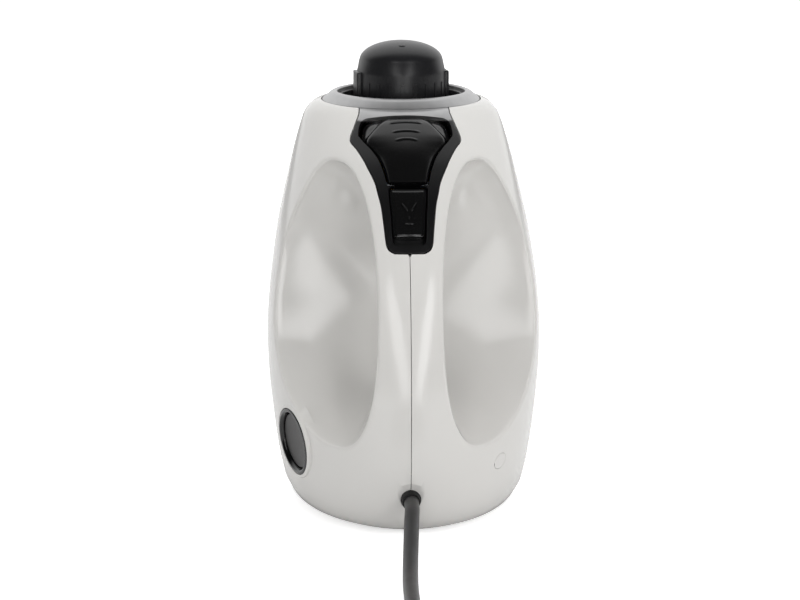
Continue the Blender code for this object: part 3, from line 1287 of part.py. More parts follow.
def make_clamp(looks):
    half = CLAMP_HALF
    low = CORD_Z - CLAMP_POST_DROP + GAP
    centre = Vector((0, -CLAMP_BACK, low + half.z))
    clamp = box("cord_clamp", centre - half, centre + half, looks["nylon"])
    cut(clamp, rod("clamp_groove", CORD_R + GAP, -half.y * 2, half.y * 2, None, SMALL_SIDES,
                   along((0, 1, 0), (0, -CLAMP_BACK, CORD_Z))))
    top = low + half.z * 2
    for index, side in enumerate((-1, 1)):
        place = along((0, 0, 1), (side * CLAMP_SCREW_SIDE, -CLAMP_BACK, 0))
        cut(clamp, rod("clamp_bore_%d" % (index + 1), CLAMP_SCREW_R + GAP, low - OVERRUN,
                       top + OVERRUN, None, SCREW_SIDES, place))
        screw_low = top + GAP - CLAMP_SCREW_LENGTH
        profile = ((0, screw_low), (CLAMP_SCREW_R, screw_low), (CLAMP_SCREW_R, top + GAP),
                   (CLAMP_HEAD_R, top + GAP), (CLAMP_HEAD_R, top + GAP + CLAMP_HEAD),
                   (0, top + GAP + CLAMP_HEAD))
        turned("clamp_screw_%d" % (index + 1), profile, looks["steel"], SCREW_SIDES, False, place)


def make_feet(looks):
    for index, (x, y) in enumerate(foot_places()):
        top = BODY_BASE - GAP
        profile = ((0, 0), (FOOT_R, 0), (FOOT_R, top), (FOOT_SPIGOT_R, top),
                   (FOOT_SPIGOT_R, FOOT_SPIGOT), (0, FOOT_SPIGOT))
        turned("foot_%d" % (index + 1), profile, looks["rubber"], SCREW_SIDES, False,
               along((0, 0, 1), (x, y, 0)))


def coil_points():
    """The coil's centre line: a spiral in, a climb, and a spiral out, for each pair of layers."""
    points = []
    steps = round(COIL_TURNS * COIL_POINTS_PER_TURN)
    climb = COIL_POINTS_PER_TURN // 2
    outer = COIL_INNER_R + COIL_PITCH * COIL_TURNS
    base = CORD_R + GAP / 3
    angle = math.radians(COIL_START_ANGLE)
    turn = math.tau / COIL_POINTS_PER_TURN
    for layer in range(COIL_LAYERS):
        inward = layer % 2 == 0
        for k in range(steps + (1 if layer == 0 else 0)):
            share = k / steps
            radius = outer - (outer - COIL_INNER_R) * (share if inward else 1 - share)
            points.append((radius, angle, base + layer * COIL_LAYER_RISE))
            angle -= turn
        if layer < COIL_LAYERS - 1:
            for k in range(1, climb):
                t = k / climb
                rise = COIL_LAYER_RISE * (3 * t * t - 2 * t ** 3)
                radius = COIL_INNER_R - COIL_CLIMB_PULL * math.sin(math.pi * t)
                points.append((radius, angle, base + layer * COIL_LAYER_RISE + rise))
                angle -= turn
    return [Vector((COIL_CENTRE_X + r * math.cos(a), -SKIN_BACK - COIL_CENTRE_BEHIND + r * math.sin(a), z))
            for r, a, z in points]


def least_gap(points, radius):
    """Least clear distance between stretches of a tube that are not neighbours."""
    best = math.inf
    skip = COIL_POINTS_PER_TURN // 2
    for i in range(0, len(points) - 1):
        for j in range(i + skip, len(points) - 1):
            a, b = points[i], points[j]
            if (a - b).length > COIL_PITCH * 2:
                continue
            for share in (0.0, 0.5):
                start = a.lerp(points[i + 1], share)
                along_j = points[j + 1] - b
                t = max(0.0, min(1.0, (start - b).dot(along_j) / along_j.length_squared))
                best = min(best, (start - b - along_j * t).length)
    return best - 2 * radius


def make_cord(looks):
    back = along((0, -1, 0), (0, 0, CORD_Z))
    wall_inside = SKIN_BACK - SHELL_WALL
    bore = CORD_R + GAP
    lip = wall_inside - RELIEF_SEAT
    profile = ((bore, wall_inside - RELIEF_INNER_LENGTH), (RELIEF_TIP_R, wall_inside - RELIEF_INNER_LENGTH),
               (RELIEF_COLLAR_R, lip - RELIEF_LIP), (RELIEF_COLLAR_R, lip),
               (RELIEF_SLEEVE_R, lip), (RELIEF_SLEEVE_R, SKIN_BACK + GAP),
               (RELIEF_TIP_R, SKIN_BACK + RELIEF_OUTER_LENGTH), (bore, SKIN_BACK + RELIEF_OUTER_LENGTH))
    turned("strain_relief", profile, looks["rubber"], SMALL_SIDES, True, back)
    coil = coil_points()
    start = coil[0]
    tangent = (coil[1] - coil[0]).normalized()
    entry = start - tangent * CORD_R * 2
    route = [Vector((x, -SKIN_BACK - behind, z)) for x, behind, z in CORD_ROUTE]
    lead_end = entry - tangent * CORD_R * 2
    smooth, free = smooth_route(route + [lead_end], CORD_R * CORD_STEP_SHARE)
    smooth.append(entry - tangent * GAP)
    tube("power_cord", smooth, CORD_R, looks["cord"], 2)
    tail_tangent = (coil[-1] - coil[-2]).normalized()
    tail = coil[-1] + tail_tangent * CORD_R * 2
    line = [entry] + coil + [tail]
    tube("cord_coil", line, CORD_R, looks["cord"], 1)
    wound = sum((b - a).length for a, b in zip(line, line[1:]))
    print("cord: free %.3f m, coil %.3f m" % (free, wound))
    print("coil: least gap to itself %.2f mm" % (least_gap(coil, CORD_R) * 1000))
    plug_low = tail + tail_tangent * GAP
    place = along(tail_tangent, plug_low)
    end = PLUG_TAIL_LENGTH + PLUG_BODY_LENGTH
    shoulder = PLUG_TAIL_LENGTH + PLUG_TAIL_R
    profile = ((0, 0), (PLUG_TAIL_R, 0), (PLUG_TAIL_WIDE_R, PLUG_TAIL_LENGTH),
               (PLUG_SHOULDER_R, shoulder), (PLUG_BODY_R, shoulder + PLUG_TAIL_R),
               (PLUG_BODY_R, end - PLUG_TAIL_R), (PLUG_END_R, end), (0, end))
    turned("mains_plug", profile, looks["rubber"], SMALL_SIDES, False, place)
    for side in (-1, 1):
        spot = place @ Matrix.Translation(Vector((0, side * PLUG_PIN_SPACING / 2, end)))
        rod("plug_pin_%d" % (1 if side < 0 else 2), PLUG_PIN_R, GAP, PLUG_PIN_LENGTH,
            looks["brass"], PIN_SIDES, spot)


def main():
    clear_scene()
    looks = make_materials()
    make_shells(looks)
    make_collar(looks)
    make_trigger(looks)
    make_lock(looks)
    make_cap(looks)
    upper = make_boiler(looks)
    make_valve(looks, upper)
    make_spout(looks)
    make_button(looks)
    make_wiring(looks)
    make_clamp(looks)
    make_feet(looks)
    make_cord(looks)


main()
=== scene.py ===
# Handheld steam cleaner for a product picture. Metres; +Z is up, +Y points to the nozzle,
# and the filler cap's axis is at x = y = 0.
import math

import bmesh
import bpy
from mathutils import Matrix, Vector


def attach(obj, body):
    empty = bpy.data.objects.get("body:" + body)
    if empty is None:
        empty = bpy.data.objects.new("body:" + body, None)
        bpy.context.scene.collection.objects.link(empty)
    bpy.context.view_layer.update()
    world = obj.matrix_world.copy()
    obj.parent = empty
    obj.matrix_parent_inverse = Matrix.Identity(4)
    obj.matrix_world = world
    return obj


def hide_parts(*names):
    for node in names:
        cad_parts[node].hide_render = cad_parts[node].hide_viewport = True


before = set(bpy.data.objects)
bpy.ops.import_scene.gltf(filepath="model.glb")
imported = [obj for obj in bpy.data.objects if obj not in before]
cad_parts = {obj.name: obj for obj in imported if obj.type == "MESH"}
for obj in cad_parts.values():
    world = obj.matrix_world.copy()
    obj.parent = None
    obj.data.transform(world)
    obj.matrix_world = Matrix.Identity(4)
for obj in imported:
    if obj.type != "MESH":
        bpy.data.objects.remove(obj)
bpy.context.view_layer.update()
print("frame loaded:", len(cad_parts), "nodes")

# What most pieces share
common = {
    "gap": 0.0003,         # clearance between pieces that touch
    "slide": 0.0006,       # clearance round a moving piece
    "overrun": 0.010,      # how far a cutter reaches past the wall
    "sharp": 32.0,         # edges sharper than this angle stay crisp
}


# Camera

camera = {
    "target": (-0.0005, 0.0, 0.0916),
    "azimuth": -2.35,
    "elevation": 12.65,
    "distance": 1.300,
    "focalPixels": 2562.0,
    "imageWidth": 800.0,
    "sensor": 36.0,
    "clip": (0.01, 100.0),
}


def makeCamera():
    data = bpy.data.cameras.new("studioCamera")
    data.sensor_width = camera["sensor"]
    data.lens = camera["sensor"] * camera["focalPixels"] / camera["imageWidth"]
    data.clip_start, data.clip_end = camera["clip"]
    lens = bpy.data.objects.new("studioCamera", data)
    bpy.context.scene.collection.objects.link(lens)
    turn = math.radians(camera["azimuth"])
    tilt = math.radians(camera["elevation"])
    back = Vector((math.sin(turn) * math.cos(tilt), -math.cos(turn) * math.cos(tilt), math.sin(tilt)))
    lens.location = Vector(camera["target"]) + back * camera["distance"]
    lens.rotation_mode = "QUATERNION"
    lens.rotation_quaternion = (-back).to_track_quat("-Z", "Y")
    bpy.context.scene.camera = lens


# Materials

def linearColour(hexColour):
    channels = []
    for k in (0, 2, 4):
        value = int(hexColour[k:k + 2], 16) / 255
        channels.append(value / 12.92 if value <= 0.04045 else ((value + 0.055) / 1.055) ** 2.4)
    return (*channels, 1.0)


def addNode(tree, kind, settings=None, inputs=None):
    node = tree.nodes.new(kind)
    for name, value in (settings or {}).items():
        setattr(node, name, value)
    for name, value in (inputs or {}).items():
        if isinstance(value, bpy.types.NodeSocket):
            tree.links.new(value, node.inputs[name])
        else:
            node.inputs[name].default_value = value
    return node


# Each finish: its colour, a second colour that moulding flow or handling mixes in, the
# roughness range, the size in millimetres of the texture that shows, and its height in
# millimetres. The other numbers go straight on the shader, where metallic is 0 if not given.
finishes = {
    # ABS moulded against a polished tool: a deep even white with a clear gloss and a very
    # slight waviness, so reflections bend softly instead of looking like glass
    "glossyWhiteAbs": {"colour": "cccbc8", "flow": "c7c5c2", "rough": (0.10, 0.17), "grainMm": 18.0,
                       "heightMm": 0.03, "ior": 1.54},
    # Silver paint on moulded ABS: fine flake under a satin clear coat, bright where it faces
    # the light and near black where it faces the dark of the studio
    "satinSilverPaint": {"colour": "b6b6b6", "flow": "a6a6a7", "rough": (0.30, 0.38), "grainMm": 0.6,
                         "heightMm": 0.004, "ior": 1.5, "metallic": 0.9},
    # ABS, black, moulded against a polished tool: mirror-like but with a soft edge
    "glossyBlackAbs": {"colour": "080808", "flow": "0c0c0d", "rough": (0.16, 0.24), "grainMm": 9.0,
                       "heightMm": 0.015, "ior": 1.54},
    # Polypropylene, black, moulded in a fine spark-eroded tool: grey sheen, no clear reflection
    "satinBlackPlastic": {"colour": "161618", "flow": "1c1c1e", "rough": (0.30, 0.38), "grainMm": 1.2,
                          "heightMm": 0.010, "ior": 1.49},
    # ABS, grey, spark-eroded: the even satin face of the power button
    "satinGreyAbs": {"colour": "2a2929", "flow": "302f2f", "rough": (0.36, 0.46), "grainMm": 0.9,
                     "heightMm": 0.008, "ior": 1.54},
    # Soft rubber, moulded: matt, a little dusty
    "mouldedRubber": {"colour": "0c0c0c", "flow": "131313", "rough": (0.62, 0.78), "grainMm": 1.0,
                      "heightMm": 0.020, "ior": 1.52},
    # Plasticised PVC, extruded: a smooth dark sheath with a broad soft sheen
    "extrudedPvc": {"colour": "0f0e0f", "flow": "151415", "rough": (0.32, 0.42), "grainMm": 2.5,
                    "heightMm": 0.010, "ior": 1.53},
    # Aluminium, die cast and left raw: dull grey with a granular skin
    "castAluminium": {"colour": "b3b4b6", "flow": "a2a3a5", "rough": (0.42, 0.58), "grainMm": 1.4,
                      "heightMm": 0.030, "ior": 1.5, "metallic": 1.0},
    # Steel, zinc plated and passivated: bright with a faint cold cloudiness
    "zincPlatedSteel": {"colour": "b9bbbd", "flow": "abb0b5", "rough": (0.26, 0.38), "grainMm": 1.0,
                        "heightMm": 0.006, "ior": 1.5, "metallic": 1.0},
    # Brass, turned: warm, with fine tool marks
    "turnedBrass": {"colour": "c9a452", "flow": "b8923f", "rough": (0.24, 0.36), "grainMm": 0.5,
                    "heightMm": 0.006, "ior": 1.5, "metallic": 1.0},
    # Silicone rubber, moulded: brick red and matt
    "mouldedSilicone": {"colour": "9c3f2d", "flow": "8f3727", "rough": (0.52, 0.64), "grainMm": 1.5,
                        "heightMm": 0.010, "ior": 1.43},
    # PVC wire insulation, extruded
    "wireInsulation": {"colour": "6f84a0", "flow": "66799a", "rough": (0.40, 0.50), "grainMm": 2.0,
                       "heightMm": 0.005, "ior": 1.53},
    # Polyamide, natural: cream and faintly mottled
    "mouldedNylon": {"colour": "d5cfbd", "flow": "ccc5b2", "rough": (0.44, 0.54), "grainMm": 2.0,
                     "heightMm": 0.010, "ior": 1.53},
}

# The silver paint is masked off over satin black ABS, level with the top of the trigger
frameFade = {"silverAbove": 0.1908, "blackBelow": 0.1896, "black": "0b0b0c"}


# What every finish's texture shares: the flow is this many times coarser than the grain
texture = {"flowRatio": 7, "grainDetail": 3.0, "flowDetail": 2.0, "grainRough": 0.5, "bumpStrength": 0.6}


def makeFinish(name):
    look = finishes[name]
    material = bpy.data.materials.new(name)
    material.use_nodes = True
    tree = material.node_tree
    shader = tree.nodes["Principled BSDF"]
    place = addNode(tree, "ShaderNodeTexCoord")
    grain = addNode(tree, "ShaderNodeTexNoise", None, {
        "Vector": place.outputs["Object"], "Scale": 1000 / look["grainMm"],
        "Detail": texture["grainDetail"], "Roughness": texture["grainRough"]})
    flow = addNode(tree, "ShaderNodeTexNoise", None, {
        "Vector": place.outputs["Object"], "Scale": 1000 / (look["grainMm"] * texture["flowRatio"]),
        "Detail": texture["flowDetail"]})
    colour = addNode(tree, "ShaderNodeMix", {"data_type": "RGBA"}, {0: flow.outputs["Fac"]})
    colour.inputs[6].default_value = linearColour(look["colour"])
    colour.inputs[7].default_value = linearColour(look["flow"])
    low, high = look["rough"]
    rough = addNode(tree, "ShaderNodeMapRange", None, {
        "Value": grain.outputs["Fac"], "To Min": low, "To Max": high})
    relief = addNode(tree, "ShaderNodeBump", None, {
        "Height": grain.outputs["Fac"], "Strength": texture["bumpStrength"],
        "Distance": look["heightMm"] / 1000})
    tree.links.new(colour.outputs[2], shader.inputs["Base Color"])
    tree.links.new(rough.outputs["Result"], shader.inputs["Roughness"])
    tree.links.new(relief.outputs["Normal"], shader.inputs["Normal"])
    shader.inputs["Metallic"].default_value = look.get("metallic", 0.0)
    shader.inputs["IOR"].default_value = look["ior"]
    return material


def makeFramePaint(silver):
    # silver above the masking line and plain black ABS below it
    material = silver.copy()
    material.name = "maskedSilverPaint"
    tree = material.node_tree
    shader = tree.nodes["Principled BSDF"]
    place = addNode(tree, "ShaderNodeTexCoord")
    split = addNode(tree, "ShaderNodeSeparateXYZ", None, {"Vector": place.outputs["Object"]})
    share = addNode(tree, "ShaderNodeMapRange", {"interpolation_type": "SMOOTHSTEP"}, {
        "Value": split.outputs["Z"], "From Min": frameFade["blackBelow"],
        "From Max": frameFade["silverAbove"]})
    paint = shader.inputs["Base Color"].links[0].from_socket
    colour = addNode(tree, "ShaderNodeMix", {"data_type": "RGBA"}, {0: share.outputs["Result"], 7: paint})
    colour.inputs[6].default_value = linearColour(frameFade["black"])
    metal = addNode(tree, "ShaderNodeMath", {"operation": "MULTIPLY"}, {
        0: share.outputs["Result"], 1: finishes["satinSilverPaint"]["metallic"]})
    tree.links.new(colour.outputs[2], shader.inputs["Base Color"])
    tree.links.new(metal.outputs[0], shader.inputs["Metallic"])
    return material


# Mesh helpers

def turnOutward(work, mesh):
    bmesh.ops.recalc_face_normals(work, faces=work.faces[:])
    if work.calc_volume(signed=True) < 0:
        bmesh.ops.reverse_faces(work, faces=work.faces[:])
    work.to_mesh(mesh)
    work.free()
    return mesh


def meshFrom(name, points, faces):
    mesh = bpy.data.meshes.new(name)
    mesh.from_pydata([tuple(point) for point in points], [], faces)
    work = bmesh.new()
    work.from_mesh(mesh)
    return turnOutward(work, mesh)


def newObject(name, mesh):
    result = bpy.data.objects.new(name, mesh)
    bpy.context.scene.collection.objects.link(result)
    return result


def combine(target, others, operation):
    for other in others:
        step = target.modifiers.new(other.name, "BOOLEAN")
        step.operation = operation
        step.solver = "MANIFOLD"
        step.object = other


def cut(target, *others):
    combine(target, others, "DIFFERENCE")


def join(target, *others):
    combine(target, others, "UNION")


def settle(target, bevel=0.0, helpers=(), segments=2, limit=40.0):
    if bevel:
        step = target.modifiers.new("edge", "BEVEL")
        step.width = bevel
        step.segments = segments
        step.limit_method = "ANGLE"
        step.angle_limit = math.radians(limit)
        step.use_clamp_overlap = True
    graph = bpy.context.evaluated_depsgraph_get()
    mesh = bpy.data.meshes.new_from_object(target.evaluated_get(graph))
    target.modifiers.clear()
    target.data = mesh
    for helper in helpers:
        bpy.data.objects.remove(helper, do_unlink=True)


def finishPiece(piece, material, body, slot, *nodes, sharp=None):
    mesh = piece.data
    mesh.materials.clear()
    mesh.materials.append(material)
    if isinstance(mesh, bpy.types.Mesh):
        mesh.shade_smooth()
        mesh.set_sharp_from_angle(angle=math.radians(sharp or common["sharp"]))
    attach(piece, body)
    if nodes:
        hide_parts(*nodes)
    return piece


def clampShare(value):
    return min(max(value, 0.0), 1.0)


def easeShare(t):
    return t * t * (3 - 2 * t)


def bend(t, start, corner, end):
    return (1 - t) ** 2 * start + 2 * t * (1 - t) * corner + t * t * end


def hermite(t, start, slope, end, slopeAfter):
    return ((2 * t ** 3 - 3 * t * t + 1) * start + (t ** 3 - 2 * t * t + t) * slope
            + (3 * t * t - 2 * t ** 3) * end + (t ** 3 - t * t) * slopeAfter)


def roundedPath(corners, steps=4):
    # corners are (radius, height) or (radius, height, rounding)
    points = []
    count = len(corners)
    for k, corner in enumerate(corners):
        here = Vector((corner[0], corner[1]))
        rounding = corner[2] if len(corner) > 2 else 0.0
        if not rounding:
            points.append(here)
            continue
        before = Vector(corners[(k - 1) % count][:2])
        after = Vector(corners[(k + 1) % count][:2])
        start = here + (before - here).normalized() * min(rounding, (before - here).length * 0.49)
        end = here + (after - here).normalized() * min(rounding, (after - here).length * 0.49)
        points.extend(bend(step / steps, start, here, end) for step in range(steps + 1))
    return points


def turned(name, corners, count=96, closed=True, place=None, steps=4):
    profile = roundedPath(corners, steps)
    points = []
    rings = []
    for radius, height in profile:
        if radius < 1e-9:
            rings.append([len(points)] * count)
            points.append(Vector((0, 0, height)))
            continue
        rings.append(list(range(len(points), len(points) + count)))
        for k in range(count):
            angle = math.tau * k / count
            points.append(Vector((radius * math.cos(angle), radius * math.sin(angle), height)))
    pairs = list(zip(rings, rings[1:]))
    if closed:
        pairs.append((rings[-1], rings[0]))
    faces = []
    for low, high in pairs:
        for k in range(count):
            after = (k + 1) % count
            corner = list(dict.fromkeys((low[k], low[after], high[after], high[k])))
            if len(corner) > 2:
                faces.append(corner)
    if place:
        points = [place @ point for point in points]
    return newObject(name, meshFrom(name, points, faces))


def rod(name, radius, low, high, count=32, place=None):
    return turned(name, ((0, low), (radius, low), (radius, high), (0, high)), count, False, place)


def block(name, low, high, place=None):
    points = [Vector((x, y, z)) for x in (low[0], high[0]) for y in (low[1], high[1])
              for z in (low[2], high[2])]
    if place:
        points = [place @ point for point in points]
    faces = [(0, 1, 3, 2), (4, 6, 7, 5), (0, 4, 5, 1), (2, 3, 7, 6), (0, 2, 6, 4), (1, 5, 7, 3)]
    return newObject(name, meshFrom(name, points, faces))


def along(axis, origin):
    turn = Vector((0, 0, 1)).rotation_difference(Vector(axis)).to_matrix().to_4x4()
    return Matrix.Translation(Vector(origin)) @ turn


def smoothCurve(route, parts=12):
    points = [Vector(point) for point in route]
    fine = []
    for k in range(len(points) - 1):
        before = points[max(k - 1, 0)]
        start, end = points[k], points[k + 1]
        after = points[min(k + 2, len(points) - 1)]
        for part in range(parts):
            t = part / parts
            fine.append(0.5 * (2 * start + (end - before) * t
                               + (2 * before - 5 * start + 4 * end - after) * t * t
                               + (3 * start - before - 3 * end + after) * t ** 3))
    fine.append(points[-1])
    return fine


def tube(name, points, radius, sides=4):
    curve = bpy.data.curves.new(name, "CURVE")
    curve.dimensions = "3D"
    curve.bevel_depth = radius
    curve.bevel_resolution = sides
    curve.use_fill_caps = True
    line = curve.splines.new("POLY")
    line.points.add(len(points) - 1)
    for slot, point in zip(line.points, points):
        slot.co = (point[0], point[1], point[2], 1.0)
    line.use_smooth = True
    return newObject(name, curve)


# Body surface: the same skin as the solids, read from the same sizes

body = {
    "base": 0.0012, "top": 0.1949, "halfWidth": 0.0674, "rear": 0.118, "front": 0.081,
    "widest": 0.027, "wall": 0.0024, "seam": 0.0003, "neck": 0.0396,
    "rows": 60,            # mesh rows from the base to the collar
    "sideColumns": 40,     # mesh columns from the ridge to the widest place
    "frontColumns": 34,
    "sideAngle": 1.80,
    "rimRound": 0.0016,    # rounding of the scoops' rims
    "probeShare": 0.02,    # how far along a mesh line its pace is measured
    "weld": 0.00002, "sliver": 0.000005,
}
# Height, half width, rear reach, front reach and widest line, as shares of the sizes above
outlineShares = (
    (0.000, 0.682, 0.805, 0.790, 1.000),
    (0.006, 0.771, 0.860, 0.852, 1.000),
    (0.023, 0.838, 0.903, 0.907, 1.000),
    (0.052, 0.880, 0.937, 0.944, 1.000),
    (0.100, 0.914, 0.968, 0.975, 1.000),
    (0.196, 0.955, 0.994, 0.994, 1.000),
    (0.332, 0.994, 1.000, 1.000, 1.000),
    (0.4455, 1.000, 0.9865, 0.994, 1.000),
    (0.542, 0.982, 0.954, 0.975, 0.963),
    (0.6195, 0.954, 0.909, 0.951, 0.852),
    (0.709, 0.914, 0.8365, 0.901, 0.630),
    (0.8075, 0.850, 0.732, 0.827, 0.389),
    (0.881, 0.797, 0.618, 0.747, 0.222),
    (0.9345, 0.751, 0.510, 0.673, 0.0926),
    (0.9705, 0.712, 0.428, 0.611, 0.026),
    (0.989, 0.668, 0.3864, 0.563, 0.0),
    (0.9975, 0.628, 0.3585, 0.522, 0.0),
)
scoop = {
    "middleZ": 0.1087, "halfHeight": 0.0645, "rimInset": 0.0030, "middleX": 0.034,
    "handleHalf": 0.0153, "handleDepth": 0.035, "openingFront": 0.0455, "openingTop": 0.1475,
    "openingBottom": 0.0630, "handleRound": 0.020, "innerRound": 0.0085, "flatness": 0.024,
    "squareness": 2.4,
    "dish": 0.0013,        # how far each side's front wall is hollowed at its middle
    "dishX": 0.044, "dishInner": 0.026, "dishBlend": 0.012, "dishFrom": -0.085, "dishFull": -0.065,
}


def outlineRows():
    rows = []
    for height, width, rear, front, widest in outlineShares:
        rows.append((body["base"] + height * (body["top"] - body["base"]), width * body["halfWidth"],
                     rear * body["rear"], front * body["front"], widest * body["widest"]))
    rows.append((body["top"], body["neck"], body["neck"], body["neck"], 0.0))
    return rows


skinRows = outlineRows()
skinPlaces = [0.0]
for rowLow, rowHigh in zip(skinRows, skinRows[1:]):
    skinPlaces.append(skinPlaces[-1] + math.dist(rowLow[:3], rowHigh[:3]))
skinPlaces = [place / skinPlaces[-1] for place in skinPlaces]


def bodyRow(v):
    last = len(skinRows) - 1
    k = next((i for i in range(last - 1, -1, -1) if skinPlaces[i] <= v), 0)
    span = skinPlaces[k + 1] - skinPlaces[k]
    t = (v - skinPlaces[k]) / span
    low, high = max(k - 1, 0), min(k + 2, last)
    result = []
    for before, start, end, after in zip(skinRows[low], skinRows[k], skinRows[k + 1], skinRows[high]):
        slope = (end - before) / (skinPlaces[k + 1] - skinPlaces[low]) * span
        slopeAfter = (after - start) / (skinPlaces[high] - skinPlaces[k]) * span
        result.append(hermite(t, start, slope, end, slopeAfter))
    return result


def bodyPoint(u, v):
    height, width, rear, front, widest = bodyRow(v)
    reach = rear - widest if math.cos(u) > 0 else front + widest
    return Vector((width * math.sin(u), -widest - reach * math.cos(u), height))


def bodyShare(height):
    low, high = 0.0, 1.0
    for _ in range(34):
        middle = (low + high) / 2
        if bodyRow(middle)[0] < height:
            low = middle
        else:
            high = middle
    return (low + high) / 2


def bodyNormal(u, v):
    step = 1e-3
    low, high = max(v - step, 0), min(v + step, 1)
    across = bodyPoint(u + step, v) - bodyPoint(u - step, v)
    upward = bodyPoint(u, high) - bodyPoint(u, low)
    return across.cross(upward).normalized()


def onBack(x, v):
    return math.asin(max(-1.0, min(1.0, x / bodyRow(v)[1])))


def ridge(height, depth=0.0):
    v = bodyShare(height)
    return bodyPoint(0, v) - depth * bodyNormal(0, v)


def squircle(angle):
    c, s = math.cos(angle), math.sin(angle)
    power = scoop["squareness"]
    size = (abs(c) ** power + abs(s) ** power) ** (-1 / power)
    return c * size, s * size


def scoopRim(angle):
    c, s = squircle(angle)
    v = bodyShare(scoop["middleZ"] + scoop["halfHeight"] * s)
    width = bodyRow(v)[1]
    reach = scoop["middleX"] - scoop["handleHalf"]
    if c > 0:
        reach = width - scoop["rimInset"] - scoop["middleX"]
    return onBack(scoop["middleX"] + reach * c, v), v


def openingEdge(angle):
    c, s = squircle(angle)
    middle = (scoop["openingTop"] + scoop["openingBottom"]) / 2
    height = middle + (scoop["openingTop"] - scoop["openingBottom"]) / 2 * s
    handle = -bodyPoint(0, bodyShare(height)).y - scoop["handleDepth"]
    centre = (handle + scoop["openingFront"]) / 2
    reach = centre - scoop["openingFront"] if c > 0 else handle - centre
    return Vector((0, -(centre - reach * c), height))


def tunnelCurve(angle):
    start = bodyPoint(*scoopRim(angle))
    end = openingEdge(angle)
    handle = clampShare((1 - squircle(angle)[0]) / 2)
    leave = (end - start) / 3 * (1 - handle) + Vector((0, scoop["handleRound"], 0)) * handle
    arrive = scoop["flatness"] * (1 - handle) + scoop["innerRound"] * handle
    return start, start + leave, end + Vector((arrive, 0, 0)), end


def onCurve(curve, t):
    start, first, second, end = curve
    return ((1 - t) ** 3 * start + 3 * t * (1 - t) ** 2 * first
            + 3 * t * t * (1 - t) * second + t ** 3 * end)


def dished(point):
    # the front wall is slightly hollow on each side, which closes a reflection to a patch
    width = bodyRow(bodyShare(point.z))[1] - scoop["rimInset"]
    across = math.hypot(point.x, scoop["dishBlend"]) - scoop["dishX"]
    across /= width - scoop["dishX"] if across > 0 else scoop["dishInner"]
    upward = (point.z - scoop["middleZ"]) / scoop["halfHeight"]
    share = easeShare(clampShare((point.y - scoop["dishFrom"]) / (scoop["dishFull"] - scoop["dishFrom"])))
    share *= max(0.0, 1 - upward * upward) * max(-1.0, 1 - across * across)
    return point + Vector((0, scoop["dish"] * share, 0))


def facingAngles(corners):
    # for each corner of the skin's mesh, the rim angle that it faces
    centreU, centreV = scoopRim(math.pi / 2)[0], bodyShare(scoop["middleZ"])
    facing = []
    count = 1440
    for k in range(count):
        angle = math.tau * k / count
        u, v = scoopRim(angle)
        facing.append((math.atan2(v - centreV, u - centreU) % math.tau, angle))
    facing.sort()
    samples = []
    for u, v in corners:
        wanted = math.atan2(v - centreV, u - centreU) % math.tau
        after = next((k for k, pair in enumerate(facing) if pair[0] >= wanted), 0)
        low, high = facing[after - 1], facing[after]
        span = (high[0] - low[0]) % math.tau
        share = ((wanted - low[0]) % math.tau) / span if span else 0.0
        turn = (high[1] - low[1] + math.pi) % math.tau - math.pi
        samples.append((u, v, low[1] + turn * share))
    return samples


def skinSolid(name, rows, columns, front, acrossShares, depthShares, rimRound):
    points, faces = [], []
    edge = body["sideAngle"]
    rowShares = [k / rows for k in range(rows + 1)]
    columnAngles = [edge * k / columns for k in range(columns + 1)]
    corners = [(0.0, v) for v in rowShares[:-1]]
    corners += [(u, 1.0) for u in columnAngles[:-1]]
    corners += [(edge, v) for v in rowShares[:0:-1]]
    corners += [(u, 0.0) for u in columnAngles[:0:-1]]
    lines = []
    for u, v, angle in facingAngles(corners):
        rimU, rimV = scoopRim(angle)
        curve = tunnelCurve(angle)
        rim = curve[0]
        probe = body["probeShare"]
        outward = (bodyPoint(rimU + (u - rimU) * probe, rimV + (v - rimV) * probe) - rim).length
        first = min(0.5, rimRound / outward * probe) if outward else 0.0
        inward = (onCurve(curve, probe) - rim).length
        wallFirst = min(0.5, rimRound / inward * probe)
        line = []
        for share in acrossShares:
            s = first + (1 - first) * share
            line.append(bodyPoint(rimU + (u - rimU) * s, rimV + (v - rimV) * s))
        if rimRound:
            a, b = line[-1], onCurve(curve, wallFirst)
            line.extend(bend(k / 4, a, rim, b) for k in (1, 2, 3))
        for share in depthShares:
            point = onCurve(curve, wallFirst + (1 - wallFirst) * share)
            line.append(dished(point) if rimRound else point)
        lines.append(line)
    for side in (-1, 1):
        start = len(points)
        depth = len(lines[0])
        for line in lines:
            points.extend(Vector((side * p.x, p.y, p.z)) for p in line)
        for k in range(len(lines)):
            after = (k + 1) % len(lines)
            for j in range(depth - 1):
                a, b = start + k * depth + j, start + after * depth + j
                faces.append((a, b, b + 1, a + 1))
        start = len(points)
        angles = [edge + (math.pi - edge) * k / front for k in range(front + 1)]
        for v in rowShares:
            points.extend(Vector((side * p.x, p.y, p.z)) for p in (bodyPoint(u, v) for u in angles))
        for row in range(rows):
            for k in range(front):
                a = start + row * (front + 1) + k
                faces.append((a, a + 1, a + front + 2, a + front + 1))
    mesh = bpy.data.meshes.new(name)
    mesh.from_pydata([tuple(point) for point in points], [], faces)
    work = bmesh.new()
    work.from_mesh(mesh)
    bmesh.ops.remove_doubles(work, verts=work.verts[:], dist=body["weld"])
    bmesh.ops.dissolve_degenerate(work, dist=body["sliver"], edges=work.edges[:])
    for height in (body["base"], body["top"]):
        loop = [e for e in work.edges if e.is_boundary
                and all(abs(v.co.z - height) < common["gap"] for v in e.verts)]
        bmesh.ops.contextual_create(work, geom=loop)
    return turnOutward(work, mesh)


# Plates that follow the ridge

